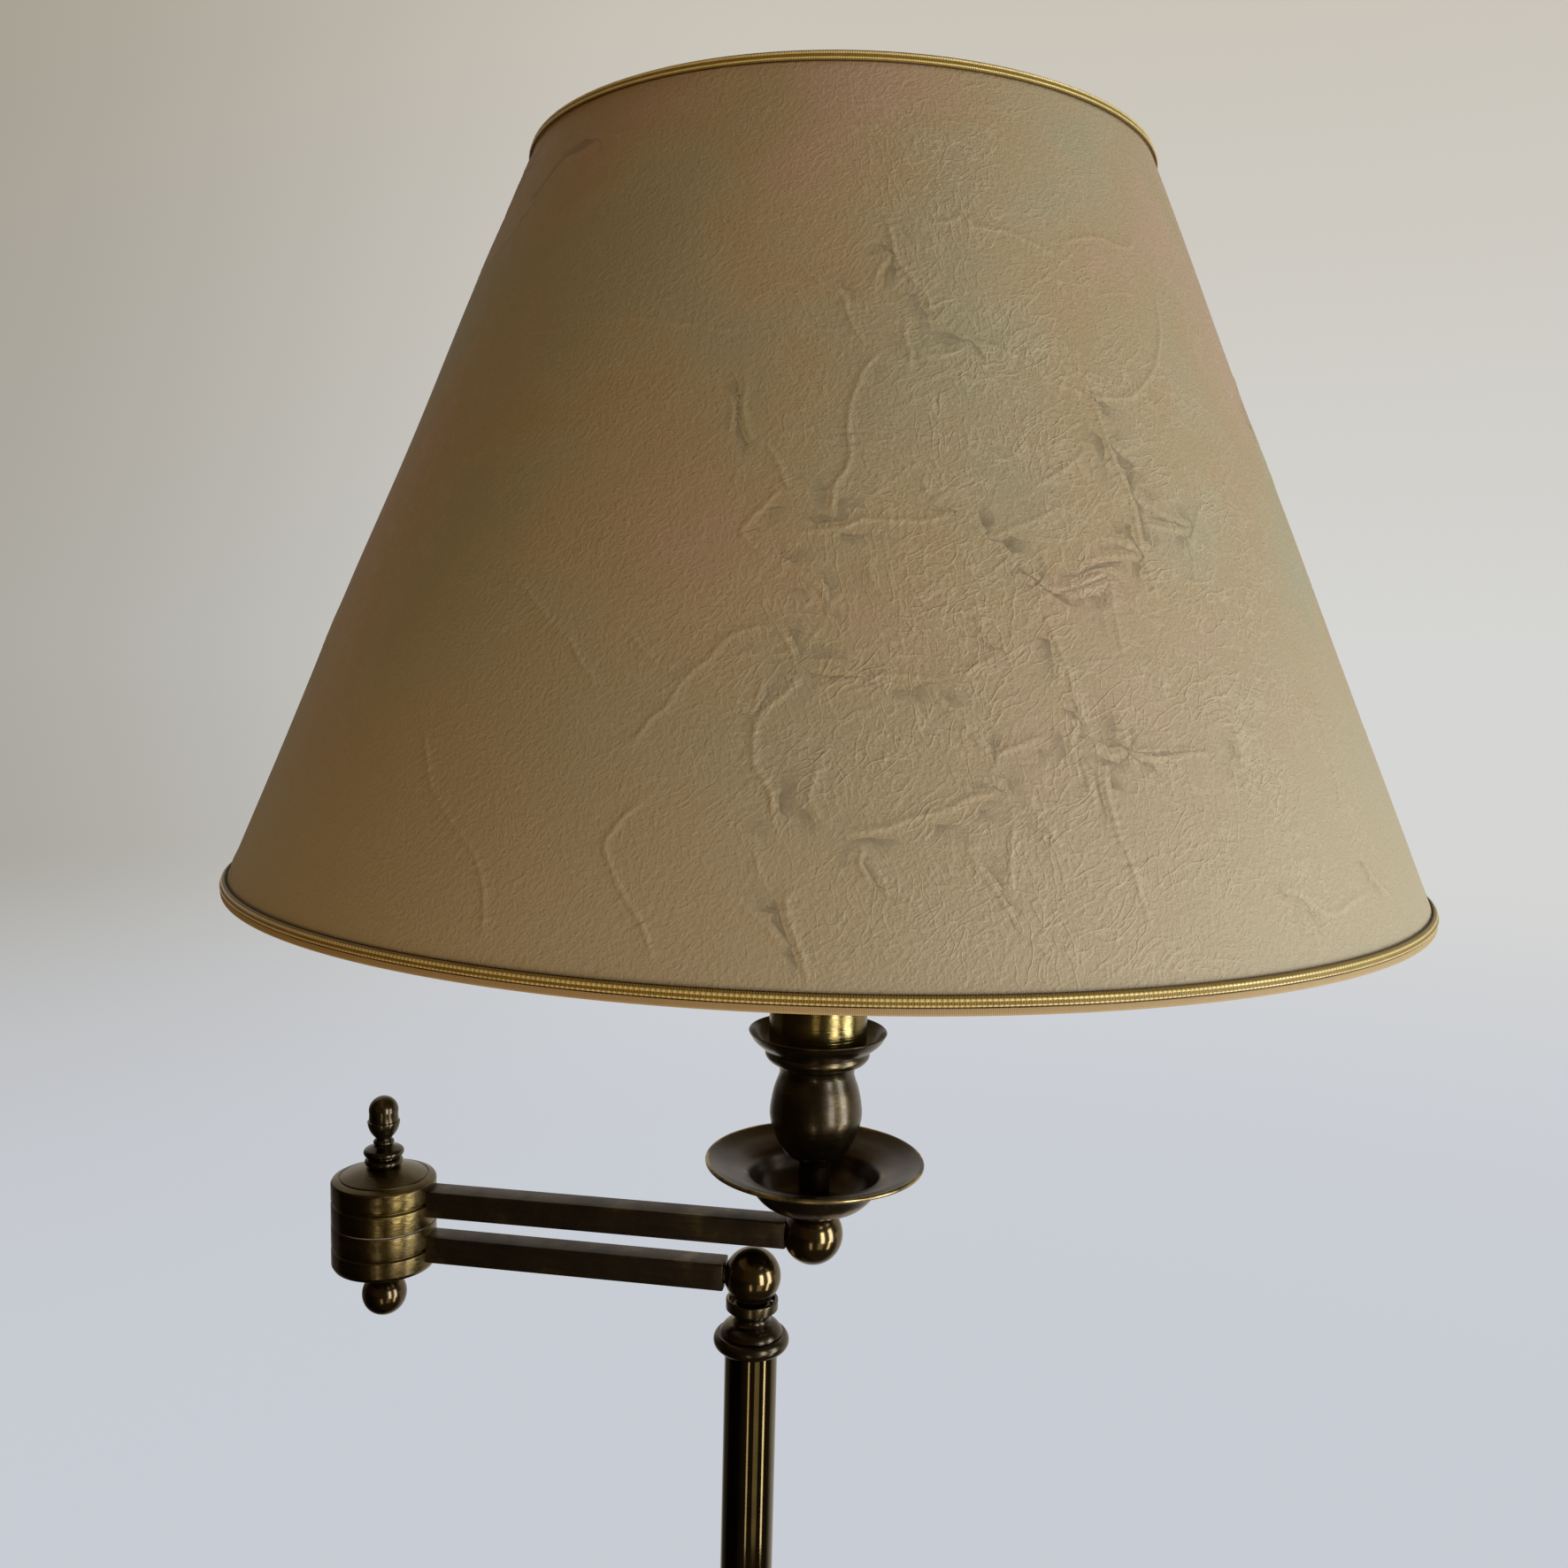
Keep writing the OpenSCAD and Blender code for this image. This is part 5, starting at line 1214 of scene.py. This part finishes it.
shown = add_node(tree, "ShaderNodeMix", {"data_type": "RGBA"},
                 {"Factor": path.outputs["Is Glossy Ray"], MIX_A: far_tone.outputs[MIX_RESULT],
                  MIX_B: uneven})
# the floor is no lamp but glows for glossy rays: a painted reflection in the brass
camera_and_glossy_glow = add_node(tree, "ShaderNodeMath", {"operation": "MAXIMUM"},
                   {0: seen, 1: path.outputs["Is Glossy Ray"]})
lit = add_node(tree, "ShaderNodeBsdfPrincipled",
               {"Base Color": colour("#d4d3d1"), "Roughness": 0.8, "Specular IOR Level": 0.2})
# painted shade on the far floor towards the left
leftward = add_node(tree, "ShaderNodeMapRange", LEFTWARD, {"Value": sideways.outputs[0]})
left_far = add_node(tree, "ShaderNodeMath", {"operation": "MULTIPLY"}, {0: leftward, 1: tone})
dimmed = add_node(tree, "ShaderNodeMix", {"data_type": "RGBA", "blend_type": "MULTIPLY",
                                          MIX_B: PAINTED_LEFT_SHADE},
                  {"Factor": left_far, MIX_A: shown.outputs[MIX_RESULT]})
glow = add_node(tree, "ShaderNodeEmission", {"Strength": 1.0}, {"Color": dimmed.outputs[MIX_RESULT]})
joined = add_node(tree, "ShaderNodeMixShader", links={0: camera_and_glossy_glow, 1: lit, 2: glow})
add_node(tree, "ShaderNodeOutputMaterial", links={"Surface": joined})
floor_look.cycles.emission_sampling = "NONE"
floor.data.materials.append(floor_look)

# A pale backdrop for the camera, painted darker towards the left: painted shade. The brass mirrors a
# room that is pale behind the lamp, and dim and brown on the near side
world = bpy.data.worlds.new("room")
bpy.context.scene.world = world
world.use_nodes = True
tree = world.node_tree
tree.nodes.clear()
coords = add_node(tree, "ShaderNodeTexCoord")
parts = add_node(tree, "ShaderNodeSeparateXYZ", links={0: coords.outputs["Generated"]})
climb = add_node(tree, "ShaderNodeMapRange", {"From Min": 0.0, "From Max": 0.45},
                 {"Value": parts.outputs[2]})
plain_back = add_node(tree, "ShaderNodeMix", {"data_type": "RGBA", MIX_A: HORIZON, MIX_B: SKY},
                      {"Factor": climb})
# painted shade on the backdrop towards the left
leftward = add_node(tree, "ShaderNodeMapRange", LEFTWARD, {"Value": parts.outputs[0]})
backdrop = add_node(tree, "ShaderNodeMix", {"data_type": "RGBA", "blend_type": "MULTIPLY",
                                            MIX_B: PAINTED_LEFT_SHADE},
                    {"Factor": leftward, MIX_A: plain_back.outputs[MIX_RESULT]})
sideways = add_node(tree, "ShaderNodeMapRange", {"interpolation_type": "SMOOTHSTEP",
                                                 "From Min": -0.7, "From Max": 0.5},
                    {"Value": parts.outputs[0]})
near = add_node(tree, "ShaderNodeMix", {"data_type": "RGBA", MIX_A: colour("#53402a"),
                                        MIX_B: colour("#4a463c")}, {"Factor": sideways})
depth = add_node(tree, "ShaderNodeMapRange", {"interpolation_type": "SMOOTHSTEP",
                                              "From Min": 0.1, "From Max": 0.5},
                 {"Value": parts.outputs[1]})
room = add_node(tree, "ShaderNodeMix", {"data_type": "RGBA", MIX_B: colour("#bdb9b2")},
                {"Factor": depth, MIX_A: near.outputs[MIX_RESULT]})
from_left = add_node(tree, "ShaderNodeMapRange", FROM_LEFT, {"Value": parts.outputs[0]})
uneven = add_node(tree, "ShaderNodeVectorMath", {"operation": "SCALE"},
                  {0: room.outputs[MIX_RESULT], "Scale": from_left})
path = add_node(tree, "ShaderNodeLightPath")
shown = add_node(tree, "ShaderNodeMix", {"data_type": "RGBA"},
                 {"Factor": path.outputs["Is Camera Ray"], MIX_A: uneven,
                  MIX_B: backdrop.outputs[MIX_RESULT]})
glow = add_node(tree, "ShaderNodeBackground", {"Strength": 1.0},
                {"Color": shown.outputs[MIX_RESULT]})
add_node(tree, "ShaderNodeOutputWorld", links={"Surface": glow})


AIM_HIGH = 1.33          # m: the shade's middle, which the high lamp looks down at


def softbox(name, bearing, away, height, wide, tall, power, tone_of, mirrored=True):
    """A soft lamp that faces the pole's axis. bearing is in degrees from the near side to the right.

    One that isn't mirrored lights the paper but leaves no bright patch in the brass."""
    turn = math.radians(bearing)
    place = Vector((math.sin(turn) * away, -math.cos(turn) * away, height))
    aim = Vector((0, 0, min(height, AIM_HIGH))) - place
    deselect()
    bpy.ops.object.light_add(type="AREA", location=place,
                             rotation=aim.to_track_quat("-Z", "Y").to_euler())
    lamp = bpy.context.object
    lamp.name = name
    lamp.data.shape = "RECTANGLE"
    lamp.data.size = wide
    lamp.data.size_y = tall
    lamp.data.energy = power
    lamp.data.color = colour(tone_of)[:3]
    lamp.visible_glossy = mirrored


softbox("left_softbox", 38, 1.35, 1.12, 0.3, 0.9, 7.0, "#f0f2ff")
softbox("right_softbox", 72, 1.35, 1.1, 0.36, 0.94, 9.1, "#e2ecff")
softbox("high_softbox", 72, 1.2, 2.3, 0.5, 0.5, 3.3, "#e2ecff", mirrored=False)
softbox("low_strip", 65, 1.35, 0.36, 0.2, 0.7, 2.6, "#f2efe6")
softbox("left_strip", 30, 1.35, 0.36, 0.5, 0.7, 0.7, "#f2e2c0")
softbox("front_strip", -6, 1.35, 0.36, 0.14, 0.7, 0.9, "#f2e6cc")
softbox("warm_fill", -27, 1.6, 1.0, 0.6, 1.3, 4.3, "#ffd08a", mirrored=False)
